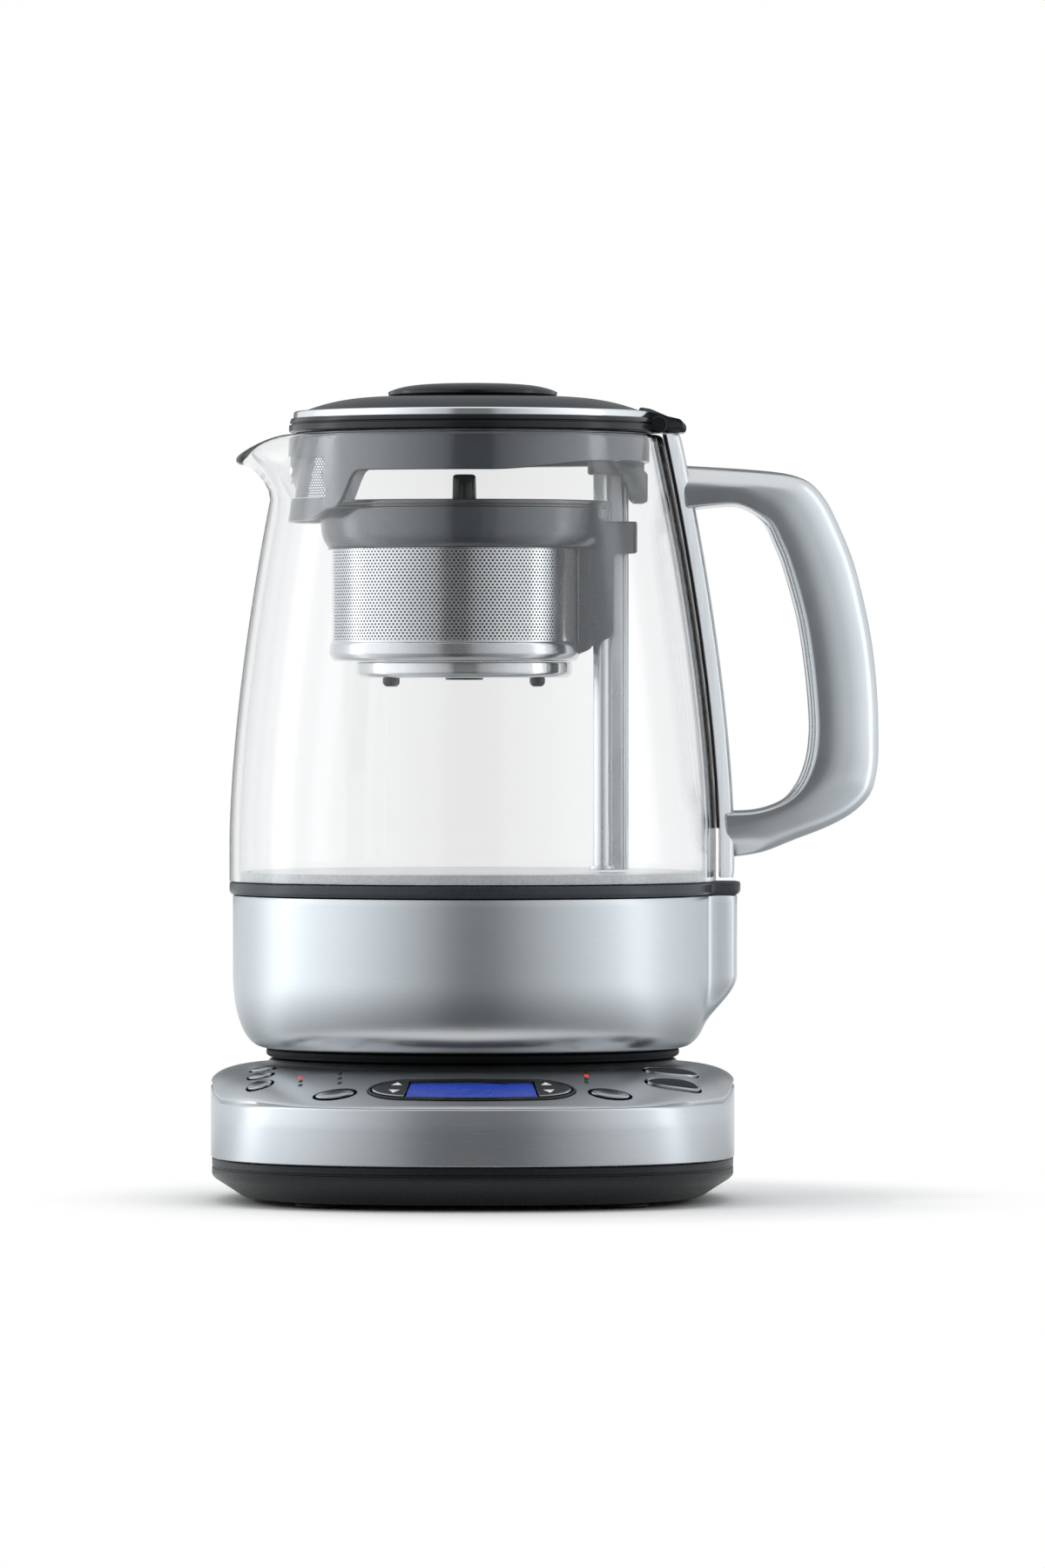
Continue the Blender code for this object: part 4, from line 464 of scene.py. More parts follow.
def glass_section(angle):
    """Outer wall, rounded lip and inner wall at an angle, square to the wall's own slope."""
    bead = GLASS_WALL / 2
    rise = GLASS_TOP - bead - GLASS_FOOT
    outer = [Vector(glass_point(angle, GLASS_FOOT + rise * i / GLASS_ROWS))
             for i in range(GLASS_ROWS + 1)]
    ways = [(outer[min(i + 1, GLASS_ROWS)] - outer[max(i - 1, 0)]).normalized()
            for i in range(GLASS_ROWS + 1)]
    inward = [Vector((-way.y, way.x)) for way in ways]
    section = list(outer)
    end = outer[-1] + inward[-1] * bead
    for k in range(1, LIP_STEPS):
        turn = math.pi * k / LIP_STEPS
        section.append(end - inward[-1] * bead * math.cos(turn) + ways[-1] * bead * math.sin(turn))
    return section + [point + square * GLASS_WALL
                      for point, square in zip(reversed(outer), reversed(inward))]


def make_glass():
    angles = around(144)
    rings = [[(radius * math.cos(a), radius * math.sin(a), height)
              for a, (radius, height) in zip(angles, ring)]
             for ring in zip(*(glass_section(a) for a in angles))]
    add("glass_jug", *loft(rings, closed=True), "jug", "glass", "jug_glass", ("glass_body",), 60)


def jug_radius(angle, radius, reach):
    share = 1 - blend(off_angle(angle), BULGE_FLAT, BULGE_END)
    return radius + max(0, reach - radius) * share


BULGE_ANGLES = [math.radians(d / 4) for d in range(-60, 61, 3)]


def jug_ring(radius, height, reach=0.0):
    return [(jug_radius(a, radius, reach) * math.cos(a), jug_radius(a, radius, reach) * math.sin(a),
             height) for a in around(120, BULGE_ANGLES)]


def make_cup():
    levels = [(CUP_RADIUS - THIN, CUP_TOP, BULGE_REACH - THIN),
              (CUP_RADIUS, CUP_TOP - THIN, BULGE_REACH), (CUP_RADIUS, CUP_TOP - CUP_LIP, BULGE_REACH)]
    for i in range(CUP_CURVE_STEPS + 1):
        turn = math.pi / 2 * i / CUP_CURVE_STEPS
        height = CUP_CURVE_TOP - (CUP_CURVE_TOP - CUP_BOTTOM) * math.sin(turn)
        radius = CUP_BOTTOM_RADIUS + ((CUP_RADIUS - CUP_BOTTOM_RADIUS)
                                      * math.cos(turn) ** CUP_CURVE_POWER)
        levels.append((radius, height, radius + (BULGE_REACH - radius) * blend(height, *BULGE_FADE)))
    outer = [jug_ring(*level) for level in levels] + [jug_ring(CUP_HOLE, CUP_BOTTOM)]
    floor = CUP_BOTTOM + CUP_WALL
    inner = [jug_ring(max(radius - CUP_WALL, CUP_HOLE), max(height, floor), reach - CUP_WALL)
             for radius, height, reach in levels] + [jug_ring(CUP_HOLE, floor)]
    add("cup_shell", *loft(outer + inner[::-1], closed=True), "jug", "cup", "cup_steel",
        ("steel_cup",), 50)


def make_band():
    step, rise, fillet = 0.5 * MM, (0.6 * MM, 0.7 * MM), 0.9 * MM
    section = rounded([(BAND_RADIUS, BAND_TOP), (BAND_RADIUS, BAND_BOTTOM + rise[1]),
                       (BAND_RADIUS - step, BAND_BOTTOM + rise[0]), (BAND_RADIUS - step, BAND_BOTTOM),
                       (BAND_INNER, BAND_BOTTOM), (BAND_INNER, BAND_TOP)], fillet)
    grow, middle = BAND_REACH - BAND_RADIUS, (BAND_INNER + BAND_RADIUS) / 2
    rings = [jug_ring(r, z, r + grow if r > middle else 0) for r, z in section]
    add("band_trim", *loft(rings, closed=True), "jug", "band", "band_plastic", ("band_ring",), 50)


def make_foot():
    low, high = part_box("jug_foot")
    outer, inset, rise, wide, fillet = high[1], 2 * MM, 1 * MM, 9.4 * MM, 0.8 * MM
    section = [(outer, high[2]), (outer, low[2] + rise), (outer - inset, low[2]),
               (outer - wide, low[2]), (outer - wide, high[2])]
    add("seat_ring", *turned(rounded(section, fillet)), "jug", "seat", "seat_plastic", ("jug_foot",))


def make_floor():
    low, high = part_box("heater_plate")
    edge, wall, sheet, fillet = high[1], 2 * MM, 1.6 * MM, 1.2 * MM
    dish, shelf = high[2] - 0.5 * MM, high[2] - 0.1 * MM
    dish_edge, shelf_start, shelf_end = edge - 16 * MM, edge - 13 * MM, edge - 6 * MM
    rim_start, rim_end, chamfer = edge - 4 * MM, edge - 1 * MM, 1 * MM
    profile = [(CORE, dish), (dish_edge, dish), (shelf_start, shelf), (shelf_end, shelf),
               (rim_start, high[2]), (rim_end, high[2]), (edge, high[2] - chamfer), (edge, low[2]),
               (edge - wall, low[2]), (edge - wall, low[2] + sheet), (CORE, low[2] + sheet)]
    add("floor_plate", *turned(rounded(profile, fillet), steps=96), "jug", "plate", "plate_steel",
        ("heater_plate",), 30)


# The post that the basket rides on
TUBE_RADIUS = 3.3 * MM
SPINE_HALF = 2.1 * MM
SPINE_EDGE_RADIUS = 1.1 * MM
COLLAR_HIGH = 1.6 * MM
COLLAR_WIDE = 1.4 * MM
SLUG_RADII = (2.4 * MM, 1.8 * MM)
THREAD_RADIUS = 1.3 * MM
THREAD_DEPTH = 0.15 * MM
THREAD_LEAD = 8 * MM
THREAD_STARTS = 4
THREAD_ENDS = (4 * MM, 1 * MM)
TOP_SHRINK_SHARE = 0.3


def tube_outline(centre, radius, steps=28):
    angles = [math.tau * i / steps for i in range(steps)]
    return [point[:2] for point in circle(radius, 0, angles, centre)]


def upright(outline, low, high, round_top, steps=4):
    """An upright bar of an outline, its top rounded over a height."""
    middle = sum(x for x, y in outline) / len(outline)
    rings = [[(x, y, low) for x, y in outline], [(x, y, high - round_top) for x, y in outline]]
    for k in range(1, steps + 1):
        turn = math.pi / 2 * k / steps
        grow = 1 - (1 - math.cos(turn)) * TOP_SHRINK_SHARE
        rings.append([(middle + (x - middle) * grow, y * grow,
                       high - round_top + round_top * math.sin(turn)) for x, y in outline])
    return loft(rings)


def make_post():
    low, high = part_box("lift_post")
    left, right = low[0] - AXIS_X, high[0] - AXIS_X
    tops = {"tube": 1.2 * MM, "spine": 0.8 * MM, "edge": 0.6 * MM}
    fillets = {"spine": 0.5 * MM, "collar": 0.4 * MM}
    lap, collar_lap = 0.4 * MM, 0.2 * MM
    tube = upright(tube_outline(left + TUBE_RADIUS, TUBE_RADIUS), low[2], high[2], tops["tube"])
    start, end = left + 2 * TUBE_RADIUS - lap, right - 2 * SPINE_EDGE_RADIUS
    spine = rounded([(start, -SPINE_HALF), (end, -SPINE_HALF), (end, SPINE_HALF), (start, SPINE_HALF)],
                    fillets["spine"])
    edge = tube_outline(right - SPINE_EDGE_RADIUS, SPINE_EDGE_RADIUS, 16)
    outer, inner, top = TUBE_RADIUS + COLLAR_WIDE, TUBE_RADIUS - collar_lap, low[2] + COLLAR_HIGH
    collar = rounded([(outer, top), (outer, low[2]), (inner, low[2]), (inner, top)], fillets["collar"])
    add("post_tube", *merge(tube, upright(spine, low[2], high[2], tops["spine"]),
                            upright(edge, low[2], high[2], tops["edge"]),
                            turned(collar, left + TUBE_RADIUS, 40)),
        "jug", "post", "post_steel", ("lift_post",), 35)
    low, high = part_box("magnet_carriage")
    screw, (outer, inner) = middle_x("lead_screw") - AXIS_X, SLUG_RADII
    slug = rounded([(outer, high[2]), (outer, low[2]), (inner, low[2]), (inner, high[2])], THIN)
    add("carriage_slug", *turned(slug, screw, 32), "magnet_carriage", "black",
        "carriage_plastic", ("magnet_carriage",))
    low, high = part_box("lead_screw")
    add("lead_thread", *thread(screw, low[2] + THREAD_ENDS[0], high[2] - THREAD_ENDS[1]),
        "lead_screw", "fastener", "screw_steel", ("lead_screw",))


def thread(centre, low, high, steps=24, rows=150):
    """A right-handed multi-start screw, as rings round its axis."""
    rings = []
    for k in range(rows + 1):
        height = low + (high - low) * k / rows
        ring = []
        for i in range(steps):
            angle = math.tau * i / steps
            wave = math.cos(THREAD_STARTS * (angle - math.tau * height / THREAD_LEAD))
            radius = THREAD_RADIUS + THREAD_DEPTH * wave
            ring.append((centre + radius * math.cos(angle), radius * math.sin(angle), height))
        rings.append(ring)
    return loft(rings)


# Perforated sheet
HOLE_SHARE = 0.3


def perforated(place, columns, rows, tall, keep=None, sides=8):
    """Staggered round holes over a patch; place(u, v) gives a point for shares of its cells."""
    verts, faces, known = [], [], {}

    def vert(u, v):
        key = (round(u, 3), round(v, 3))
        if key not in known:
            known[key] = len(verts)
            verts.append(place(key[0] / columns, key[1] / rows))
        return known[key]

    for column in range(columns):
        for row in range(rows):
            u0, v0 = column + (0.5 if row % 2 else 0.0), row
            open_here = keep is None or keep(u0 / columns, (v0 + 0.5) / rows)
            rim = []
            for side in range(sides):
                angle = math.tau * side / sides
                reach = 0.5 / max(abs(math.cos(angle)), abs(math.sin(angle)))
                wide, high = HOLE_SHARE * math.cos(angle), HOLE_SHARE * math.sin(angle) * tall
                rim.append((vert(u0 + reach * math.cos(angle), v0 + 0.5 + reach * math.sin(angle)),
                            (u0 + wide, v0 + 0.5 + high)))
            if not open_here:
                faces.append(tuple(outer for outer, at in rim))
                continue
            inner = [vert(*at) for outer, at in rim]
            for side in range(sides):
                after = (side + 1) % sides
                faces.append((rim[side][0], rim[after][0], inner[after], inner[side]))
    return verts, faces


DRUM_X = middle_x("basket_drum") - AXIS_X
BASKET_X = middle_x("basket_base") - AXIS_X
DRUM_FLARE = 0.9 * MM
DRUM_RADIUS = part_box("basket_drum")[1][1] - DRUM_FLARE
MESH_HEIGHTS = (198.4 * MM, 231.4 * MM)
MESH_PLAIN = math.radians(36)
MESH_CELLS = (144, 31)
MESH_HOLE_TALL = 1.22
DRUM_WALL = 0.8 * MM
LINER_WALL_SHARES = (1, 1.2)
NUB_ANGLES = [math.radians(a) for a in (40, 140, 220, 320)]


def make_drum():
    low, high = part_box("basket_drum")
    radius, (mesh_low, mesh_high), plain, wall = DRUM_RADIUS, MESH_HEIGHTS, MESH_PLAIN, DRUM_WALL
    columns, rows = MESH_CELLS

    def place(u, v):
        angle = plain + (math.tau - 2 * plain) * u
        return circle(radius, mesh_low + (mesh_high - mesh_low) * v, [angle], DRUM_X)[0]

    half_cell = (math.tau - 2 * plain) / columns / 2
    steps = 24
    angles = [-plain - half_cell + (2 * plain + 3 * half_cell) * i / steps for i in range(steps + 1)]
    count = len(angles)
    plate = (circle(radius, mesh_high, angles, DRUM_X) + circle(radius, mesh_low, angles, DRUM_X),
             [(i, i + 1, count + i + 1, count + i) for i in range(steps)])
    add("drum_mesh", *merge(perforated(place, columns, rows, MESH_HOLE_TALL), plate),
        "basket", "mesh", "drum_steel", (), 30)
    # A dark sheet just inside the mesh: painted shade seen through its holes
    outer, inner = (radius - share * wall for share in LINER_WALL_SHARES)
    liner = [(outer, mesh_high), (outer, mesh_low), (inner, mesh_low), (inner, mesh_high)]
    add("drum_liner", *turned(liner, DRUM_X, 96), "basket", "liner", "drum_steel")
    lap, fillets = (0.6 * MM, 0.5 * MM), (0.2 * MM, 0.6 * MM)
    collar = [(radius, high[2]), (radius, mesh_high - lap[0]), (radius - wall, mesh_high - lap[0]),
              (radius - wall, high[2])]
    flare, bead, knee = radius + DRUM_FLARE, (198 * MM, 197.5 * MM), 194 * MM
    bead_fillet, knee_in, knee_fillet = 1 * MM, 1.4 * MM, 1.6 * MM
    cup = [(radius - wall, mesh_low + lap[1]), (radius, mesh_low + lap[1]), (radius, bead[0]),
           (flare - THIN, bead[1], bead_fillet), (flare, knee), (flare - knee_in, low[2], knee_fillet),
           (CORE, low[2]), (CORE, low[2] + wall), (radius - wall, low[2] + wall)]
    add("drum_bands", *merge(turned(rounded(collar, fillets[0]), DRUM_X),
                             turned(rounded(cup, fillets[1]), DRUM_X)),
        "basket", "drum", "drum_steel", ("basket_drum",), 30)


def make_drum_foot():
    low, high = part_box("basket_base")
    ring, nub_high, sheet, fillet = high[1], 3.1 * MM, 1.4 * MM, 0.7 * MM
    foot, floor = low[2] + nub_high, low[2] + nub_high + 0.6 * MM
    chamfer, lip, step, inside = ring - 1.6 * MM, ring - 12 * MM, ring - 13 * MM, ring - 2.2 * MM
    section = [(ring, high[2]), (ring, foot + sheet), (chamfer, foot), (lip, foot), (step, floor),
               (CORE, floor), (CORE, foot + sheet), (inside, foot + sheet), (inside, high[2])]
    add("drum_foot", *turned(rounded(section, fillet), BASKET_X, 96), "basket", "mirror",
        "base_plate_steel", ("basket_base",), 35)
    reach, radius, tip, lap, rise = ring - 4.6 * MM, 2.6 * MM, 1.6 * MM, 0.4 * MM, 1 * MM
    nub_fillet = 0.6 * MM
    nub = turned(rounded([(radius, foot + lap), (radius, low[2] + rise), (tip, low[2]), (CORE, low[2]),
                          (CORE, foot + lap)], nub_fillet), 0, 20)
    parts = [([(x + BASKET_X + reach * math.cos(angle), y + reach * math.sin(angle), z)
               for x, y, z in nub[0]], nub[1]) for angle in NUB_ANGLES]
    wide, narrow, drop = 7 * MM, 6.6 * MM, 0.7 * MM
    boss = [(wide, floor), (narrow, foot - drop), (CORE, foot - drop), (CORE, floor)]
    add("drum_nubs", *merge(*parts, turned(boss, BASKET_X, 40)), "basket", "black",
        "base_plate_steel", (), 35)


BLOCK_SOFT = 0.5 * MM
SLAB_FILLET = 1.2 * MM


def box_faces(low, high, edge):
    """A block with rounded upright edges and softened top and bottom."""
    outline = rounded([(low[0], low[1]), (high[0], low[1]), (high[0], high[1]), (low[0], high[1])], edge)
    soft = min(edge, BLOCK_SOFT)
    (middle_u, wide), (middle_v, deep) = (((a + b) / 2, (b - a) / 2) for a, b in list(zip(low, high))[:2])
    rings = []
    for height, inset in ((low[2], soft), (low[2] + soft, 0), (high[2] - soft, 0), (high[2], soft)):
        rings.append([(middle_u + (x - middle_u) * (1 - inset / wide),
                       middle_v + (y - middle_v) * (1 - inset / deep), height) for x, y in outline])
    return loft(rings)


def side_slab(outline, half, edge):
    """A solid of an outline in X and Z, as wide as twice the half, with softened rims."""
    outline = rounded(outline, SLAB_FILLET)
    middle_u = sum(x for x, z in outline) / len(outline)
    middle_w = sum(z for x, z in outline) / len(outline)
    rings = []
    for y, inset in ((half, edge), (half - edge, 0), (edge - half, 0), (-half, edge)):
        rings.append([(x + (inset if x < middle_u else -inset), y,
                       z + (inset if z < middle_w else -inset)) for x, z in outline])
    return loft(rings)


def make_rim():
    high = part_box("basket_rim")[1]
    reach, top, bottom, inner = high[1], high[2], 231 * MM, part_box("basket_drum")[1][1] + THIN
    groove, groove_top, groove_bottom = reach - 1.1 * MM, top - 1.8 * MM, top - 2.4 * MM
    lip, upper = (reach - 0.2 * MM, top - 1.6 * MM), (reach - THIN, top - 2.7 * MM)
    waist, hem = (reach - 1.5 * MM, bottom + 4 * MM, 2 * MM), (reach - 4 * MM, bottom, 1.4 * MM)
    section = [(lip[0], top), (reach, lip[1]), (groove, groove_top, 0), (groove, groove_bottom, 0),
               upper, waist, hem, (inner, bottom), (inner, top)]
    bore, fillet = inner + 1 * MM, 0.5 * MM
    rings = [circle(radius, height, around(144), DRUM_X if radius < bore else BASKET_X)
             for radius, height in rounded(section, fillet)]
    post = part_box("lift_post")[0][0] - AXIS_X - 0.6 * MM
    start, end, shelf, slant = 36.9 * MM, 49.9 * MM, 240 * MM, (193.4 * MM, 195.8 * MM, 200.4 * MM)
    bracket_half, bracket_edge, arm_half = 8.6 * MM, 0.8 * MM, 1 * MM
    bracket = side_slab([(start, shelf), (post, shelf), (post, slant[1]), (start, slant[0])],
                        bracket_half, bracket_edge)
    root, arm_out = post - 1.4 * MM, 7.4 * MM
    arm = side_slab([(root, shelf), (end, shelf), (end, slant[2]), (root, slant[1])], arm_half, THIN)
    near, far, edge = 5.6 * MM, 8.2 * MM, 0.6 * MM
    front, back, back_end, floor, roof = post - 2 * MM, 56.2 * MM, 58.2 * MM, 229.6 * MM, 240.8 * MM
    clasp = [(front, -far, -near), (front, near, far), (back, -far, far)]
    collar = [box_faces((x, y, floor), (back_end, y_end, roof), edge) for x, y, y_end in clasp]
    add("rim_moulding", *merge(loft(rings, closed=True), bracket, *both_sides(arm, arm_out), *collar),
        "basket", "basket", "basket_plastic", ("basket_rim",), 35)


def make_basket_lid():
    low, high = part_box("basket_lid")
    radius, dish, inside, edge = high[1], high[2] - 0.5 * MM, high[1] - 7 * MM, high[1] - 6 * MM
    cover_fillet = 0.4 * MM
    section = [(radius, high[2]), (radius, low[2]), (CORE, low[2]), (CORE, dish), (inside, dish),
               (edge, high[2])]
    add("basket_cover", *turned(rounded(section, cover_fillet), middle_x("basket_lid") - AXIS_X),
        "basket_lid", "drum", "basket_lid_steel", ("basket_lid",), 30)
    low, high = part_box("basket_knob")
    radius, taper, top_fillet, fillet = high[1], 0.2 * MM, 1.4 * MM, 0.8 * MM
    section = [(radius - taper, high[2], top_fillet), (radius, low[2]), (CORE, low[2]), (CORE, high[2])]
    add("basket_peg", *turned(rounded(section, fillet, 5), middle_x("basket_knob") - AXIS_X, 48),
        "basket_lid", "knob", "basket_knob_plastic", ("basket_knob",), 35)


# The handle
ARCH_LEFT = 79 * MM
ARCH_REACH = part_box("handle_arch")[1][0] - AXIS_X
ARCH_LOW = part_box("handle_arch")[0][2]
ARCH_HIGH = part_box("handle_arch")[1][2]
ARCH_OUTER_SHARES = (
    (0.0, 1.0), (0.25, 0.991), (0.44, 0.983), (0.54, 0.974), (0.63, 0.955), (0.715, 0.91),
    (0.79, 0.84), (0.87, 0.745), (0.94, 0.611), (0.975, 0.511), (0.994, 0.411), (1.0, 0.32),
    (0.997, 0.24), (0.972, 0.178), (0.925, 0.142), (0.84, 0.108), (0.715, 0.077),
    (0.534, 0.044), (0.36, 0.013), (0.23, 0.0),
)
ARCH_INNER_SHARES = (
    (0.08, 0.885), (0.16, 0.895), (0.25, 0.892), (0.33, 0.873), (0.395, 0.846), (0.44, 0.8),
    (0.487, 0.745), (0.566, 0.611), (0.61, 0.478), (0.632, 0.36), (0.628, 0.29), (0.605, 0.235),
    (0.56, 0.186), (0.49, 0.152), (0.4, 0.132), (0.3, 0.122), (0.24, 0.12),
)
ARCH_ROOT = 2.4 * MM
ARCH_HALF_SECTION = (
    (0, 2.6 * MM, 1.6 * MM), (2.6 * MM, 6 * MM, 3 * MM), (8 * MM, 9 * MM, 3 * MM),
    (16 * MM, 11.2 * MM, 4 * MM), (24.4 * MM, 11.5 * MM, 2 * MM), (26 * MM, 7.6 * MM),
)
ARCH_SECTION = tuple((x, -y, *own) for x, y, *own in ARCH_HALF_SECTION) + ARCH_HALF_SECTION[::-1]
COLUMN_HALF = 12 * MM
COLUMN_SLANT = 3 * MM
COLUMN_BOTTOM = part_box("handle_column")[0][2]
COLUMN_GAP = 1.2 * MM
COLUMN_THICK = 6.4 * MM
GRIP_SHARES = (3, 13)
CURVE_STEPS = 5


def column_face(height):
    return glass_radius(height) + COLUMN_THICK


def smooth_line(points, steps):
    """Points along a smooth curve through the given points."""
    line = []
    for i in range(len(points) - 1):
        before, start = points[max(i - 1, 0)], points[i]
        end, after = points[i + 1], points[min(i + 2, len(points) - 1)]
        for k in range(steps):
            t = k / steps
            line.append(tuple(
                0.5 * (2 * b + (c - a) * t + (2 * a - 5 * b + 4 * c - d) * t * t
                       + (3 * b - a - 3 * c + d) * t ** 3)
                for a, b, c, d in zip(before, start, end, after)))
    return line + [points[-1]]


def arch_edge(shares):
    """An edge of the handle, with its ends carried into the column."""
    wide, high = ARCH_REACH - ARCH_LEFT, ARCH_HIGH - ARCH_LOW
    points = [(ARCH_LEFT + x * wide, ARCH_LOW + z * high) for x, z in shares]
    points[0] = (column_face(points[0][1]) - ARCH_ROOT, points[0][1])
    points[-1] = (column_face(points[-1][1]) - ARCH_ROOT, points[-1][1])
    return smooth_line(points, CURVE_STEPS)


def evenly(points, count):
    """The line drawn again with evenly spaced points."""
    lengths = [0.0]
    for a, b in zip(points, points[1:]):
        lengths.append(lengths[-1] + math.dist(a, b))
    line, at = [], 0
    for i in range(count):
        want = lengths[-1] * i / (count - 1)
        while at < len(points) - 2 and lengths[at + 1] < want:
            at += 1
        t = (want - lengths[at]) / max(lengths[at + 1] - lengths[at], 1e-9)
        line.append(tuple(a + (b - a) * t for a, b in zip(points[at], points[at + 1])))
    return line


def make_arch():
    count, fillet = 90, 1.8 * MM
    outer = evenly(arch_edge(ARCH_OUTER_SHARES), count)
    inner = evenly(arch_edge(ARCH_INNER_SHARES), count)
    section = rounded(ARCH_SECTION, fillet, 5)
    deep = max(x for x, y in section)
    rings = [[(x0 + (x1 - x0) * x / deep, y, z0 + (z1 - z0) * x / deep) for x, y in section]
             for (x0, z0), (x1, z1) in zip(outer, inner)]
    add("handle_loop", *loft(rings), "jug", "alloy", "arch_alloy", ("handle_arch",), 55)


def make_grip():
    start, end = (CURVE_STEPS * share for share in GRIP_SHARES)
    line = evenly(arch_edge(ARCH_INNER_SHARES)[start:end + 1], 70)
    wide, proud, deep, steps = 8 * MM, 0.7 * MM, 2.2 * MM, 14
    least_taper, taper_rings, squareness = 0.25, 5, 0.6
    last = len(line) - 1
    rings = []
    for i, (x, z) in enumerate(line):
        before, after = line[max(i - 1, 0)], line[min(i + 1, last)]
        way = Vector((after[0] - before[0], after[1] - before[1])).normalized()
        taper = min(1, least_taper + min(i, last - i) / taper_rings)
        ring = []
        for k in range(steps + 1):
            turn = math.pi * k / steps
            side = math.copysign(abs(math.cos(turn)) ** squareness, math.cos(turn)) * wide * taper
            lift = -proud * math.sin(turn) ** squareness * taper
            ring.append((x - way.y * lift, side, z + way.x * lift))
        for k in range(steps - 1):
            side = -wide * taper * (1 - 2 * (k + 1) / steps)
            ring.append((x - way.y * deep * taper, side, z + way.x * deep * taper))
        rings.append(ring)
    add("grip_strip", *loft(rings), "jug", "grip", "grip_plastic", ("handle_grip",), 45)


def make_column():
    rings = []
    count, edge, fillet = 60, 0.4 * MM, 2 * MM
    for i in range(count + 1):
        height = COLUMN_BOTTOM + (GLASS_TOP - COLUMN_BOTTOM) * i / count
        inset = THIN if i in (0, count) else 0
        near, far = glass_radius(height) + COLUMN_GAP, column_face(height) - inset
        half, slim = COLUMN_HALF - inset, COLUMN_HALF - inset - COLUMN_SLANT
        section = [(near, -half, edge), (far, -slim), (far, slim), (near, half, edge)]
        rings.append([(x, y, height) for x, y in rounded(section, fillet, 5)])
    add("handle_post", *loft(rings), "jug", "column", "column_alloy", ("handle_column",), 40)


# The lid
DOME_FLAT = 30 * MM
DOME_EDGE = 279.6 * MM
DOME_WALL = 2 * MM
DOME_POWER = 2.4
LID_TOP = 277.6 * MM
LID_SEAM = 275.5 * MM
LID_BORE = 57 * MM
TONGUE_HALF = 12 * MM
KNOB_DROP_SHARE = 0.55


def dome_height(radius, edge, top):
    share = max(0, (radius - DOME_FLAT) / (edge - DOME_FLAT))
    return top - (top - DOME_EDGE) * share ** DOME_POWER


def make_lid_rim():
    low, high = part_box("lid_rim")
    reach, right, bottom = -(low[0] - AXIS_X), high[0] - AXIS_X, low[2]
    groove, taper, shoulder, bore_top = reach - 0.9 * MM, 0.2 * MM, 0.8 * MM, 277 * MM
    over, under, chamfer = (0.3 * MM, 0.4 * MM), (0.2 * MM, 0.3 * MM), 0.6 * MM
    section = [(reach - shoulder, LID_TOP), (reach - taper, LID_SEAM + over[1]),
               (groove, LID_SEAM + over[0]), (groove, LID_SEAM - under[0]), (reach, LID_SEAM - under[1]),
               (reach, bottom + chamfer), (groove, bottom), (LID_BORE, bottom), (LID_BORE, bore_top)]
    ring = turned(rounded(section, THIN), steps=168)
    start, floor, ramp, tip, drop = 59 * MM, bottom + 0.1 * MM, 63 * MM, 275.4 * MM, 0.6 * MM
    tongue_edge, pin_fillet = 1.4 * MM, 0.5 * MM
    tongue = side_slab([(start, floor), (right, floor), (right, tip), (ramp, high[2] - drop),
                        (start, high[2])], TONGUE_HALF, tongue_edge)
    radius, proud, sunk, place, lift = 3 * MM, 0.4 * MM, 1.2 * MM, 66 * MM, 2.9 * MM
    pin = turned(rounded([(radius, sunk), (radius, -proud), (CORE, -proud), (CORE, sunk)],
                         pin_fillet), 0, 32)
    pin = ([(x + place, -TONGUE_HALF - z, y + bottom + lift) for x, y, z in pin[0]], pin[1])
    add("rim_ring", *merge(ring, tongue, pin), "lid", "rim", "rim_plastic", ("lid_rim",), 40)


def make_trim():
    low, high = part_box("lid_trim")
    outer, top, drop = high[1], high[2] + 0.4 * MM, (0.4 * MM, 0.5 * MM)
    insets = (0.2 * MM, 0.7 * MM, 2.2 * MM, 3.2 * MM)
    edge, start, end, inner = (outer - inset for inset in insets)
    section = [(outer, low[2]), (edge, top - drop[0]), (start, top), (end, top), (inner, top - drop[1]),
               (inner, low[2])]
    add("trim_ring", *turned(rounded(section, THIN), steps=168), "lid", "trim", "trim_steel",
        ("lid_trim",))


def make_dome():
    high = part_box("lid_dome")[1]
    edge, top, count = high[1], high[2], 24
    skirt, hem, hem_in = 278 * MM, 277.4 * MM, 1.6 * MM
    profile = [(CORE, top)]
    profile += [(edge * i / count, dome_height(edge * i / count, edge, top)) for i in range(1, count + 1)]
    profile += [(edge, skirt), (edge - hem_in, hem)]
    for i in range(count - 1, -1, -2):
        radius = max(CORE, edge * i / count)
        profile.append((radius, dome_height(radius, edge, top) - DOME_WALL))
    add("dome_cover", *turned(profile, steps=168), "lid", "dome", "dome_plastic", ("lid_dome",), 30)


def make_knob():
    low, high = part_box("lid_knob")
    radius, count, fall, skirt = high[1], 16, 1.1 * MM, high[2] - low[2] - 1 * MM
    side, side_low, inset, fillet = low[2] + 1.6 * MM, low[2] + 0.2 * MM, 1.4 * MM, 0.6 * MM
    profile = [(CORE, high[2])]
    for i in range(1, count + 1):
        share = math.sin(math.pi / 2 * i / count)
        profile.append((radius * share,
                        high[2] - skirt * share ** 6 * KNOB_DROP_SHARE - fall * share ** 2))
    profile += rounded([(radius, side), (radius, side_low), (radius - inset, low[2])], fillet,
                       closed=False)
    profile.append((CORE, low[2]))
    add("knob_cap", *turned(profile, steps=120), "lid", "knob", "knob_plastic", ("lid_knob",), 35)


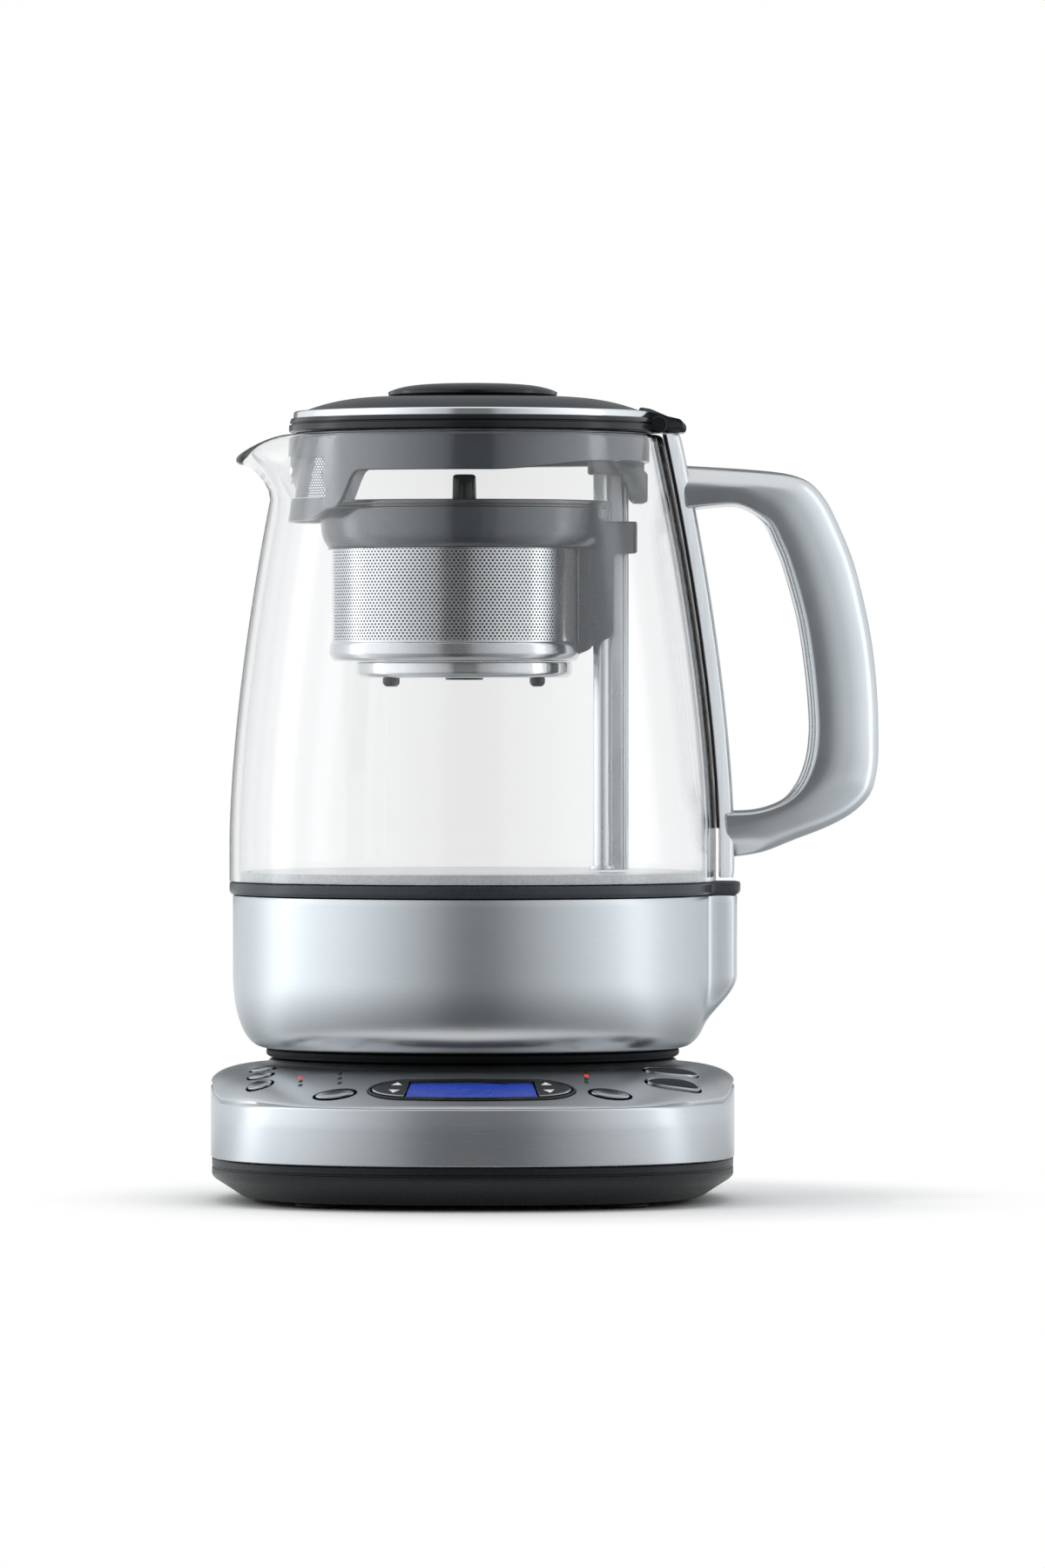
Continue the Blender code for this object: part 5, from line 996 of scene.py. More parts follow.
SKIRT_RADIUS = 62 * MM
SKIRT_TOP = 272.1 * MM
SKIRT_BOTTOM = 258.4 * MM
SKIRT_HALF = 0.9 * MM
FLAP_BOTTOM = 241 * MM
FLAP_OUT = 3 * MM
FLAP_EDGE = [math.radians(a) for a in (24, 41, 51)]
FLAP_STEEP = 0.74
SKIRT_RISE = 3.4 * MM
SKIRT_RISE_FRONT = (math.radians(95), math.radians(138))
SKIRT_RISE_BACK = (math.radians(44), math.radians(56))
WINDOW_TOP = 263 * MM
WINDOW_BOTTOM = 248.7 * MM
WINDOW_ANGLE = math.radians(34)
WINDOW_ANGLES = (math.radians(30.5), math.radians(37))
WINDOW_SPREAD = math.radians(12)
WINDOW_LAP = math.radians(3.4)
HOLES_FROM = (math.radians(21.8), math.radians(29))
FILTER_CELLS = (46, 15)
FILTER_HOLE_TALL = 1.3
FILTER_MARGIN = math.radians(0.5)
FILTER_LIFT = -0.3 * MM
BACKING_LIFTS = (-0.7 * MM, -0.9 * MM)
HEM = 0.35 * MM


def skirt_bottom(angle):
    """Lower edge of the skirt: steep beside the flap, level under it, higher right and behind."""
    off = off_angle(angle, math.pi)
    steep = 1 - blend(off, FLAP_EDGE[1], FLAP_EDGE[2])
    level = 1 - blend(off, FLAP_EDGE[0], FLAP_EDGE[1])
    rise = blend(off, *SKIRT_RISE_FRONT) if math.sin(angle) < 0 else blend(off, *SKIRT_RISE_BACK)
    return (SKIRT_BOTTOM + SKIRT_RISE * rise
            - (SKIRT_BOTTOM - FLAP_BOTTOM) * (FLAP_STEEP * steep + (1 - FLAP_STEEP) * level))


def skirt_place(angle, height, lift=0.0):
    out = max(0, SKIRT_BOTTOM - height) / (SKIRT_BOTTOM - FLAP_BOTTOM) * FLAP_OUT
    out *= 1 - blend(off_angle(angle, math.pi), 0, SPOUT_HALF_ANGLE)
    radius = SKIRT_RADIUS + out + lift
    return radius * math.cos(angle), radius * math.sin(angle), height


def between(low, high, share):
    return low + (high - low) * share


def steps_between(start, end, count, first=0):
    """Evenly spaced values from the start to the end."""
    return [between(start, end, i / count) for i in range(first, count + 1)]


def window_half(height):
    return between(*WINDOW_ANGLES, (height - WINDOW_BOTTOM) / (WINDOW_TOP - WINDOW_BOTTOM))


def wall_patch(start, end, columns, heights, slanted=False):
    """A wall of the skirt's thickness between two angles; heights(angle) lists its levels."""
    rings = []
    for i in range(columns + 1):
        angle = start + (end - start) * i / columns
        levels = heights(angle)

        def place(height, lift, angle=angle):
            side = math.remainder(angle - math.pi, math.tau)
            if slanted and WINDOW_BOTTOM < height < WINDOW_TOP:
                near = 1 - blend(abs(side) - WINDOW_ANGLE, 0, WINDOW_SPREAD)
                angle += math.copysign((window_half(height) - WINDOW_ANGLE) * near, side)
            return skirt_place(angle, height, lift)

        path = [place(z, SKIRT_HALF) for z in levels]
        path.append(place(levels[-1] - HEM, 0))
        path += [place(z, -SKIRT_HALF) for z in reversed(levels)]
        rings.append(path)
    return loft(rings)


def make_skirt():
    window, lap = WINDOW_ANGLE, WINDOW_ANGLE + WINDOW_LAP

    def full(angle):
        bottom = min(skirt_bottom(angle), WINDOW_TOP)
        return steps_between(SKIRT_TOP, WINDOW_TOP, 4) + steps_between(WINDOW_TOP, bottom, 10, 1)

    wrap = wall_patch(math.pi + window, 3 * math.pi - window, 150, full, True)
    above = wall_patch(math.pi - lap, math.pi + lap, 36,
                       lambda a: steps_between(SKIRT_TOP, WINDOW_TOP, 6))
    below = wall_patch(math.pi - window, math.pi + window, 34,
                       lambda a: steps_between(WINDOW_BOTTOM, skirt_bottom(a), 3))
    reach, bore, floor, shelf = 60.6 * MM, 51 * MM, 263.4 * MM, 264.6 * MM
    flange = rounded([(reach, shelf), (reach, floor), (bore, floor), (bore, shelf)], THIN)
    outer, inner, foot, roof = 58.6 * MM, 57.2 * MM, 264.8 * MM, 272 * MM
    sleeve = rounded([(outer, roof), (outer, foot), (inner, foot), (inner, roof)], THIN)
    add("skirt_wall", *merge(wrap, above, below, turned(flange, steps=120), turned(sleeve, steps=120)),
        "lid", "skirt", "dome_plastic", ("lid_skirt",), 40)


def make_cheeks():
    """Two upright cheeks beside the post's top, with a bridge between them."""
    top, front, back, heel, half = SKIRT_TOP - 0.4 * MM, 41 * MM, 60.6 * MM, 61.8 * MM, 1.6 * MM
    floor, heel_top, heel_low = 257.6 * MM, 257.8 * MM, 247.4 * MM
    toe, slope, knee, edge = 57 * MM, (53.2 * MM, 254.4 * MM), 53 * MM, 0.4 * MM
    cheek = side_slab([(front, top), (back, top), (back, SKIRT_BOTTOM), (heel, heel_top),
                       (heel, heel_low), (toe, heel_low), slope, (knee, floor), (front, floor)],
                      half, edge)
    apart, inset, under, wide = 6.8 * MM, 0.4 * MM, 262.4 * MM, 6 * MM
    start, end = front + inset, back - inset
    bridge = side_slab([(start, top), (end, top), (end, under), (start, under)], wide, THIN)
    add("post_block", *merge(*both_sides(cheek, apart), bridge), "lid", "basket", "dome_plastic", (),
        40)


def make_filter():
    half = WINDOW_ANGLES[1] + FILTER_MARGIN
    low, high = WINDOW_BOTTOM + THIN, WINDOW_TOP - THIN

    def side_of(u):
        return 2 * half * (u - 0.5)

    def place(u, v):
        return skirt_place(math.pi + side_of(u), between(low, high, v), FILTER_LIFT)

    def holes(u, v):
        return abs(side_of(u)) > between(*HOLES_FROM, v)

    add("filter_mesh", *perforated(place, *FILTER_CELLS, FILTER_HOLE_TALL, holes), "lid", "skirt",
        "filter_steel", ("spout_filter",), 30)
    # The sheet behind the holes glows as painted light
    near, far = BACKING_LIFTS
    section = ((low, near), (high, near), (high, far), (low, far))
    rings = [[skirt_place(angle, z, lift) for z, lift in section]
             for angle in steps_between(math.pi - half, math.pi + half, 40)]
    add("filter_painted_glow_sheet", *loft(rings), "lid", "backing", "filter_steel")


# The base
def base_reach(angle, half):
    """The base's outline: a rounded square of half a width."""
    across, along = abs(math.cos(angle)), abs(math.sin(angle))
    return half / (across ** BASE_POWER + along ** BASE_POWER) ** (1 / BASE_POWER)


def crease_height(angle):
    y = base_reach(angle, BASE_HALF) * math.sin(angle)
    return CREASE_FRONT + (CREASE_BACK - CREASE_FRONT) * blend(y, *CREASE_RISE)


def panel_drop(angle, share):
    """Height of the panel between the ring round the seat (0) and the crease (1)."""
    from_front = math.acos(max(-1, min(1, -math.sin(angle))))
    roundness = blend(from_front, PANEL_FLAT_ANGLE, PANEL_ROUND_ANGLE)
    fall = (1 - roundness) * share + roundness * (1 - math.sqrt(max(0, 1 - share * share)))
    return RING_HEIGHT - (RING_HEIGHT - crease_height(angle)) * fall


def panel_height(x, y):
    angle = math.atan2(y, x)
    share = (math.hypot(x, y) - RING_RADIUS) / (base_reach(angle, BASE_HALF) - RING_RADIUS)
    return panel_drop(angle, min(max(share, 0), 1))


def panel_normal(x, y):
    slope_x = (panel_height(x + PROBE, y) - panel_height(x - PROBE, y)) / (2 * PROBE)
    slope_y = (panel_height(x, y + PROBE) - panel_height(x, y - PROBE)) / (2 * PROBE)
    return Vector((-slope_x, -slope_y, 1)).normalized()


def on_panel(plan, lift):
    """A point over the base, lifted square to its panel."""
    x, y = plan
    return Vector((x, y, panel_height(x, y))) + panel_normal(x, y) * lift


DISPLAY_SHARE = 0.52
PANEL_MIDDLE = RING_RADIUS + DISPLAY_SHARE * (BASE_HALF - RING_RADIUS)
END_LONG = 13 * MM
FRAME_HALF = (36.2 * MM, 6.3 * MM)
LENS_HALF_LONG = 22 * MM


def display_plan(along, up):
    """Place on the base of a point along the display and up the panel's slope."""
    angle = -math.pi / 2 + along / PANEL_MIDDLE
    wide = base_reach(angle, BASE_HALF) - RING_RADIUS
    slope = math.hypot(wide, RING_HEIGHT - crease_height(angle))
    reach = RING_RADIUS + (DISPLAY_SHARE - up / slope) * wide
    return reach * math.cos(angle), reach * math.sin(angle)


def end_half(along, half_long, half_high):
    """Half height of the display frame's long oval."""
    into = abs(along) - (half_long - END_LONG)
    if into <= 0:
        return half_high
    return half_high * math.sqrt(max(0, 1 - (into / END_LONG) ** 2))


def display_loop(grow, lift, straight_steps=14, end_steps=16):
    """Closed outline of the display frame, grown by a length, as points on the panel."""
    half_long, half_high = FRAME_HALF[0] + grow, FRAME_HALF[1] + grow
    straight = half_long - END_LONG
    right = [(straight * i / straight_steps, half_high) for i in range(straight_steps)]
    for i in range(end_steps + 1):
        turn = math.pi / 2 * i / end_steps
        right.append((straight + END_LONG * math.sin(turn), half_high * math.cos(turn)))
    loop = [(a, -h) for a, h in right] + [(a, h) for a, h in reversed(right[:-1])]
    loop += [(-a, h) for a, h in right[1:]] + [(-a, -h) for a, h in reversed(right[1:-1])]
    return [on_panel(display_plan(a, h), lift) for a, h in loop]


def oval(centre, half, turn, grow=0.0, steps=64):
    points = []
    for i in range(steps):
        t = math.tau * i / steps
        x, y = (half[0] + grow) * math.cos(t), (half[1] + grow) * math.sin(t)
        points.append((centre[0] + x * math.cos(turn) - y * math.sin(turn),
                       centre[1] + x * math.sin(turn) + y * math.cos(turn)))
    return points


def plug_rings(centre, half, turn, levels):
    """Ovals square to the panel at levels of (growth, lift)."""
    return [[on_panel(p, lift) for p in oval(centre, half, turn, grow)] for grow, lift in levels]


SIDE_TURN = math.radians(27)
PRESET_TURN = math.radians(33)
LEVEL_TURN = math.radians(14)
# A kind of button: its half sizes, how its cap and its hole grow, the height of its rim over the
# panel and how far its middle stands above that
Kind = namedtuple("Kind", "half shrink grow top bulge")
PRESET = Kind((5.2 * MM, 3.3 * MM), -0.35 * MM, 0.4 * MM, 0.55 * MM, 0.5 * MM)
LEVEL = Kind((7.4 * MM, 3 * MM), -0.4 * MM, 0.7 * MM, 0.5 * MM, 0.75 * MM)
GREY = Kind((10.8 * MM, 4.3 * MM), -0.3 * MM, 0.4 * MM, 0.75 * MM, 0.45 * MM)
BUTTONS = {
    "preset_button_rear": ((-73.6 * MM, -36.2 * MM), -PRESET_TURN, PRESET),
    "preset_button_middle": ((-74.2 * MM, -45.6 * MM), -PRESET_TURN, PRESET),
    "preset_button_front": ((-74.2 * MM, -55 * MM), -PRESET_TURN, PRESET),
    "tea_type_button": ((-47.6 * MM, -77.3 * MM), -LEVEL_TURN, LEVEL),
    "strength_button": ((48.2 * MM, -76.9 * MM), LEVEL_TURN, LEVEL),
    "basket_cycle_button": ((69.6 * MM, -45 * MM), SIDE_TURN, GREY),
    "start_button": ((70.4 * MM, -57 * MM), SIDE_TURN, GREY),
}
GREY_RING = {"basket_cycle_button": 0.8 * MM, "start_button": 1.5 * MM}
CAP_DEPTH = 3 * MM
CUT_LIFTS = (3 * MM, -4 * MM)
LIGHT_RADIUS = 0.75 * MM
LIGHTS = {
    "indicator_light_left": ([(-59.9 * MM, -61.3 * MM), (-46.1 * MM, -66.4 * MM)], 3.4 * MM, 3),
    "indicator_light_right": ([(40 * MM, -68.8 * MM)], 2.2 * MM, 4),
}
LIT = {"indicator_light_left": 2, "indicator_light_right": 2}


def light_places(node):
    columns, pitch, count = LIGHTS[node]
    return [(x, y + pitch * (i - (count - 1) / 2)) for x, y in columns for i in range(count)]


BASE_ANGLES = around(200)


def base_ring(half, height, shift=0.0):
    """A ring of the base's outline; its height is a length or a function of the angle."""
    points = []
    for angle in BASE_ANGLES:
        reach = base_reach(angle, half)
        level = height(angle) if callable(height) else height
        points.append((reach * math.cos(angle), reach * math.sin(angle), level + shift))
    return points


PANEL_SHARES = (0.02, 0.06, 0.14, 0.24, 0.34, 0.44, 0.54, 0.64, 0.73, 0.81, 0.87, 0.92, 0.955, 0.975)
PANEL_LAST_SHARE = 0.99
PANEL_SAG = 0.12 * MM
# The crease between panel and wall: how far below it and how far in
CREASE_STEPS = ((0.3 * MM, 0.45 * MM), (0.62 * MM, 0.5 * MM), (0.95 * MM, 0.12 * MM), (1.6 * MM, 0.0))
WALL_SHARES = (0.35, 0.7)
# The inside follows these rings of the outside, drawn in and down by two lengths
INNER_RINGS = (24, 20, 14, 9)
INNER_OFFSET = (1.3 * MM, 1.1 * MM)
# Over this height from the crease a face wears the panel's look, with its painted shade
CREASE_LOOK = -0.45 * MM


def housing_rings():
    """From the well in the middle, over the seat and the panel, down the wall."""
    well_lip, seat_lip, seat_step, shelf = 0.4 * MM, (0.5 * MM, 0.2 * MM, 0.7 * MM), 1 * MM, 45 * MM
    levels = [(WELL_RADIUS, SEAT_TOP - WELL_DEEP), (WELL_RADIUS, SEAT_TOP - THIN),
              (WELL_RADIUS + well_lip, SEAT_TOP), (shelf, SEAT_TOP),
              (SEAT_RADIUS - seat_lip[0], SEAT_TOP), (SEAT_RADIUS + seat_lip[1], SEAT_TOP - THIN),
              (SEAT_RADIUS + seat_lip[2], SEAT_TOP - seat_step)]
    rings = [circle(radius, height, BASE_ANGLES) for radius, height in levels]
    for share in (*PANEL_SHARES, PANEL_LAST_SHARE):
        points = []
        for angle in BASE_ANGLES:
            reach = RING_RADIUS + (base_reach(angle, BASE_HALF) - RING_RADIUS) * share
            point = Vector((reach * math.cos(angle), reach * math.sin(angle), panel_drop(angle, share)))
            points.append(tuple(point + Vector((0, 0, -PANEL_SAG if share == PANEL_LAST_SHARE else 0))))
        rings.append(points)
    rings += [base_ring(BASE_HALF - inset, crease_height, -drop) for drop, inset in CREASE_STEPS]
    last = CREASE_STEPS[-1][0]
    for share in WALL_SHARES:
        rings.append(base_ring(BASE_HALF, lambda a, s=share: ((crease_height(a) - last) * (1 - s)
                                                              + HOUSING_BOTTOM * s)))
    return rings + [base_ring(BASE_HALF, HOUSING_BOTTOM + THIN),
                    base_ring(BASE_HALF - THIN, HOUSING_BOTTOM),
                    base_ring(BASE_HALF - HOUSING_WALL, HOUSING_BOTTOM)]


def housing_inside(rings):
    inward, down = INNER_OFFSET
    seat_in, well_out = 1.5 * MM, 1.2 * MM
    inner = []
    for k in INNER_RINGS:
        inner.append([(x * (1 - inward / math.hypot(x, y)), y * (1 - inward / math.hypot(x, y)),
                       z - down) for x, y, z in rings[k]])
    for radius, height in ((SEAT_RADIUS - seat_in, SEAT_TOP - HOUSING_WALL),
                           (WELL_RADIUS + well_out, SEAT_TOP - HOUSING_WALL),
                           (WELL_RADIUS + well_out, SEAT_TOP - WELL_DEEP)):
        inner.append(circle(radius, height, BASE_ANGLES))
    return inner


def panel_holes():
    """Plugs through the panel for the buttons, the lights and the display."""
    top, bottom = CUT_LIFTS
    cutters = []
    for centre, turn, kind in BUTTONS.values():
        levels = ((kind.grow, top), (kind.grow, bottom))
        cutters.append(loft(plug_rings(centre, kind.half, turn, levels)))
    light_gap = 0.1 * MM
    for node in LIGHTS:
        for place in light_places(node):
            cutters.append(loft(plug_rings(place, (LIGHT_RADIUS, LIGHT_RADIUS), 0,
                                           ((light_gap, top), (light_gap, bottom)))))
    cutters.append(loft([display_loop(THIN, top), display_loop(THIN, bottom)]))
    return cutters


def make_housing():
    rings = housing_rings()
    shell = add("base_shell", *loft(rings + housing_inside(rings), closed=True), "base", "wall",
                "housing_steel", ("base_housing",), 50, ("panel",))
    punch(shell, panel_holes())
    for face in shell.data.polygons:
        x, y, z = face.center
        over = z - crease_height(math.atan2(y, x - AXIS_X))
        face.material_index = 1 if over > CREASE_LOOK and face.normal.z > 0 else 0


def punch(obj, cutters):
    """Cut closed shapes, given about the jug's axis, out of a piece."""
    verts, faces = merge(*cutters)
    mesh = bpy.data.meshes.new("cutter")
    mesh.from_pydata([tuple(v) for v in verts], [], faces)
    work = bmesh.new()
    work.from_mesh(mesh)
    bmesh.ops.recalc_face_normals(work, faces=work.faces)
    bmesh.ops.translate(work, verts=work.verts, vec=(AXIS_X, 0, 0))
    work.to_mesh(mesh)
    work.free()
    cutter = bpy.data.objects.new("cutter", mesh)
    bpy.context.scene.collection.objects.link(cutter)
    cut = obj.modifiers.new("holes", "BOOLEAN")
    cut.object, cut.solver = cutter, "EXACT"
    bpy.context.view_layer.update()
    result = bpy.data.meshes.new_from_object(obj.evaluated_get(bpy.context.evaluated_depsgraph_get()))
    obj.modifiers.clear()
    obj.data = result
    bpy.data.objects.remove(cutter)
    obj.data.set_sharp_from_angle(angle=math.radians(40))


FEET = ("foot_front_left", "foot_front_right", "foot_rear_left", "foot_rear_right")


def make_tray():
    outer, bottom, sheet, centre = BASE_HALF - 0.4 * MM, 2 * MM, 3.4 * MM, 26 * MM
    top = min(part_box("base_tray")[1][2], 15.7 * MM)
    edge, wall, soft, groove = 0.4 * MM, 2.4 * MM, 0.35 * MM, (13.2 * MM, 12.9 * MM, 12.5 * MM, 12.2 * MM)
    side, knee, shoulder = 10 * MM, (0.3 * MM, 9.2 * MM), (1.1 * MM, 8.4 * MM)
    slope, toe, sole, inside = (10 * MM, 2.6 * MM), (11 * MM, 2.1 * MM), 12 * MM, 13 * MM
    section = [(wall, top), (edge, top), (0, top - edge), (0, groove[0]), (soft, groove[1]),
               (soft, groove[2]), (0, groove[3]), (0, side), knee, shoulder, slope, toe, (sole, bottom)]
    rings = [base_ring(outer - inset, height) for inset, height in section]
    rings += [base_ring(centre, bottom), base_ring(centre, sheet), base_ring(outer - inside, sheet)]
    reach, lap, roof, fillet = centre + edge, bottom + 0.2 * MM, 3.2 * MM, 0.2 * MM
    floor = turned(rounded([(reach, lap), (CORE, lap), (CORE, roof), (reach, roof)], fillet))
    add("base_skirting", *merge(loft(rings, closed=True), floor), "base", "tray", "tray_plastic",
        ("base_tray",), 40)


def make_pads():
    rise, insets, dish, fillet = 0.4 * MM, (1 * MM, 2.4 * MM, 3 * MM), 0.5 * MM, 0.35 * MM
    for node in FEET:
        low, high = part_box(node)
        radius = (high[0] - low[0]) / 2
        edge, sole, hollow = (radius - inset for inset in insets)
        section = [(CORE, high[2]), (radius, high[2]), (radius, low[2] + rise), (edge, low[2]),
                   (sole, low[2]), (hollow, low[2] + dish), (CORE, low[2] + dish)]
        pad = moved(turned(rounded(section, fillet), 0, 48), (low[0] + high[0]) / 2 - AXIS_X,
                    (low[1] + high[1]) / 2)
        add(node.replace("foot", "rubber_pad"), *pad, "base", "rubber", "foot_rubber", (node,), 35)


CROWN_STEPS = 12
CROWN_SHARE = 0.93
# The shoulder of a cap: share of its size and drop below its rim
SHOULDER_SHARES = ((0.965, 0.12 * MM), (0.99, 0.35 * MM), (1.0, 0.7 * MM))
# Shares of a cap's size inside which its chrome is painted darker, as a painted reflection in the dome
PAINTED_SHADE_SHARES = (0.42, 0.62)


def crown(centre, turn, kind, shrink, top, depth, bulge):
    """Rings of a convex cap: domed top, rounded shoulder, straight side."""
    levels = []
    for k in range(1, CROWN_STEPS + 1):
        share = k / CROWN_STEPS * CROWN_SHARE
        levels.append((share, top + bulge * (1 - share * share / CROWN_SHARE ** 2)))
    levels += [(share, top - drop) for share, drop in SHOULDER_SHARES] + [(1.0, -depth)]
    return [[on_panel(p, lift)
             for p in oval(centre, tuple((half + shrink) * share for half in kind.half), turn)]
            for share, lift in levels]


def chrome_cap(node):
    """A domed cap, darker towards its middle: a painted reflection of dark surroundings in the chrome dome.
    """
    centre, turn, kind = BUTTONS[node]
    middle = Vector(on_panel(centre, kind.top)) + Vector((AXIS_X, 0, 0))

    def look_of(face):
        off = face.center - middle
        along = off.x * math.cos(turn) + off.y * math.sin(turn)
        across = off.y * math.cos(turn) - off.x * math.sin(turn)
        away = math.hypot(along / kind.half[0], across / kind.half[1])
        return sum(away < share for share in PAINTED_SHADE_SHARES)

    cap = loft(crown(centre, turn, kind, kind.shrink, kind.top, CAP_DEPTH, kind.bulge))
    add(node.replace("button", "cap"), *cap, node, "chrome", "button_chrome", (node,), 50,
        ("chrome_mid", "chrome_dark"), look_of)


def grey_cap(node):
    """A dark cap inside a chrome ring."""
    centre, turn, kind = BUTTONS[node]
    top, wide, flatter = kind.top, GREY_RING[node], 0.6
    chamfer, proud, lap = 0.25 * MM, 0.05 * MM, 0.1 * MM
    levels = ((kind.shrink, -CAP_DEPTH), (kind.shrink, top - THIN), (kind.shrink - chamfer, top),
              (-wide + THIN, top), (-wide, top - THIN), (-wide, -CAP_DEPTH))
    ring = loft(plug_rings(centre, kind.half, turn, levels), closed=True)
    face = loft(crown(centre, turn, kind, -wide, top + proud, CAP_DEPTH - lap, kind.bulge * flatter))
    count = len(ring[1])
    add(node.replace("button", "cap"), *merge(ring, face), node, "chrome", "button_grey", (node,),
        50, ("dark_steel",), lambda f: 0 if f.index < count else 1)


def make_buttons():
    for node, (*place, kind) in BUTTONS.items():
        (grey_cap if kind is GREY else chrome_cap)(node)


def make_shade_wells():
    """Dark linings in the button holes, seen round the caps: painted shade for the shaded gaps round the
    caps.
    """
    gap, edge, ledge, least = 0.02 * MM, 0.12 * MM, 0.34 * MM, -0.2 * MM
    top, floors = -0.1 * MM, (-1.8 * MM, -1.5 * MM)
    parts = []
    for centre, turn, kind in BUTTONS.values():
        outer, lining, inner = kind.grow - gap, kind.grow - edge, ledge + max(kind.shrink, least)
        levels = ((outer, top), (outer, floors[0]), (inner, floors[0]), (inner, floors[1]),
                  (lining, floors[1]), (lining, top))
        parts.append(loft(plug_rings(centre, kind.half, turn, levels), closed=True))
    add("button_shade_wells", *merge(*parts), "base", "black", "tray_plastic", (), 40)


PIP_SHARES = (0.15, 0.4, 0.6, 0.8, 0.92, 1.0)
PIP_PROUD = 0.1 * MM
PIP_BULGE = 0.25 * MM
PIP_DEPTH = 3.4 * MM


def pip(place):
    """A light: a small domed plug in the panel."""
    levels = [(share, PIP_PROUD + PIP_BULGE * math.sqrt(1 - share * share)) for share in PIP_SHARES]
    return loft([[on_panel(p, lift)
                  for p in oval(place, (LIGHT_RADIUS * share, LIGHT_RADIUS * share), 0, 0, 20)]
                 for share, lift in levels + [(1.0, -PIP_DEPTH)]])


def make_lights():
    for node in LIGHTS:
        pips = [pip(place) for place in light_places(node)]
        each = len(pips[0][1])
        add(node.replace("indicator", "status"), *merge(*pips), "base", "lamp_off", "light_pipe",
            (node,), 50, ("lamp_red",),
            lambda face, each=each, lit=LIT[node]: int(face.index // each == lit))


def panel_strip(start, end, half, levels, columns=24):
    """A closed slab along the display: levels are (inset, lift) from its rim inward."""
    rings = []
    for inset, lift in levels:
        line = steps_between(start, end, columns)
        line[0] += inset
        line[-1] -= inset
        ring = [(a, inset - half) for a in line] + [(a, half - inset) for a in reversed(line)]
        rings.append([on_panel(display_plan(a, u), lift) for a, u in ring])
    return loft(rings)


def make_display():
    wall, depth, proud, chamfer = 1.1 * MM, 4.6 * MM, 0.5 * MM, 0.25 * MM
    levels = ((0, -depth), (0, proud - chamfer), (-chamfer, proud), (chamfer - wall, proud),
              (-wall, proud - chamfer), (-wall, -depth))
    add("display_bezel", *loft([display_loop(*level) for level in levels], closed=True), "base",
        "black", "frame_plastic", ("display_frame",), 45)
    half = FRAME_HALF[1] - wall - THIN
    sheets = {
        ("display_glass", "lens", "lens_glass", "display_lens"): (0.3 * MM, 0.1 * MM, -1.1 * MM),
        ("display_screen", "screen", "screen_glow", "lcd_module"): (-1.4 * MM, -1.6 * MM, -3.8 * MM),
    }
    for (name, look, slot, node), (top, edge, bottom) in sheets.items():
        levels = ((THIN, top), (0, edge), (0, bottom))
        add(name, *panel_strip(-LENS_HALF_LONG, LENS_HALF_LONG, half, levels), "base", look, slot,
            (node,), 40)


ROCKER_INSET = 1.5 * MM
ROCKER_GAP = 0.4 * MM
ROCKER_LIFTS = (-2.2 * MM, 0.35 * MM, 0.6 * MM, 0.72 * MM)
ROCKER_SHRINKS = (0, 0, 0.12 * MM, 0.35 * MM)
DISH_SHRINKS = (0.8 * MM, 1.6 * MM, 2.6 * MM, 3.4 * MM)
DISH_RISE = 0.3 * MM
# An arrow: its tip, its base line, half its width and how far it stands proud and sunk
ARROW = (3.3 * MM, 1.5 * MM, 1.9 * MM, (1.06 * MM, 0.8 * MM))
# How far towards the display the arrows stand from the rocker's middle, and the dish's middle
ARROW_SHIFT = 2.2 * MM
DISH_SHIFT = 2 * MM


def rocker_ring(side, shrink, lift, count=40):
    """The rocker's outline, drawn in towards its middle by a length."""
    long, high = FRAME_HALF[0] - ROCKER_INSET, FRAME_HALF[1] - ROCKER_INSET
    start = LENS_HALF_LONG + ROCKER_GAP
    middle, reach = (start + long) / 2 - DISH_SHIFT, 6.2 * MM
    points = []
    for i in range(count + 1):
        along = start + (long - start) * math.sin(math.pi / 2 * i / count)
        points.append((along, end_half(along, long, high)))
    outline = [(a, -h) for a, h in points] + [(a, h) for a, h in reversed(points[:-1])]
    return [on_panel(display_plan(side * (middle + (a - middle) * (1 - shrink / reach)),
                                  u * (1 - shrink / high)), lift) for a, u in outline]


def make_rocker(node, side):
    levels = list(zip(ROCKER_SHRINKS, ROCKER_LIFTS))
    for shrink in DISH_SHRINKS:
        rise = DISH_RISE * math.sin(math.pi / 2 * shrink / DISH_SHRINKS[-1])
        levels.append((shrink, ROCKER_LIFTS[-1] + rise))
    rings = [rocker_ring(side, *level) for level in levels]
    body = loft(rings)
    middle = (LENS_HALF_LONG + ROCKER_GAP + FRAME_HALF[0] - ROCKER_INSET) / 2
    tip, base_line, wide, lifts = ARROW
    centre = side * (middle - ARROW_SHIFT)
    arrows = []
    for up in (1, -1):
        corners = ((centre - wide, base_line * up), (centre + wide, base_line * up), (centre, tip * up))
        arrows.append(loft([[on_panel(display_plan(a, u), lift) for a, u in corners]
                            for lift in lifts]))
    key_faces, edge_faces = len(body[1]), (len(ROCKER_LIFTS) - 1) * len(rings[0])

    def look_of(face):
        return 2 if face.index >= key_faces else 1 if face.index < edge_faces else 0

    add(node + "_key", *merge(body, *arrows), node, "rocker", "rocker_plastic", (node,), 40,
        ("chrome", "arrow"), look_of)


PIN_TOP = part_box("base_connector")[1][2]


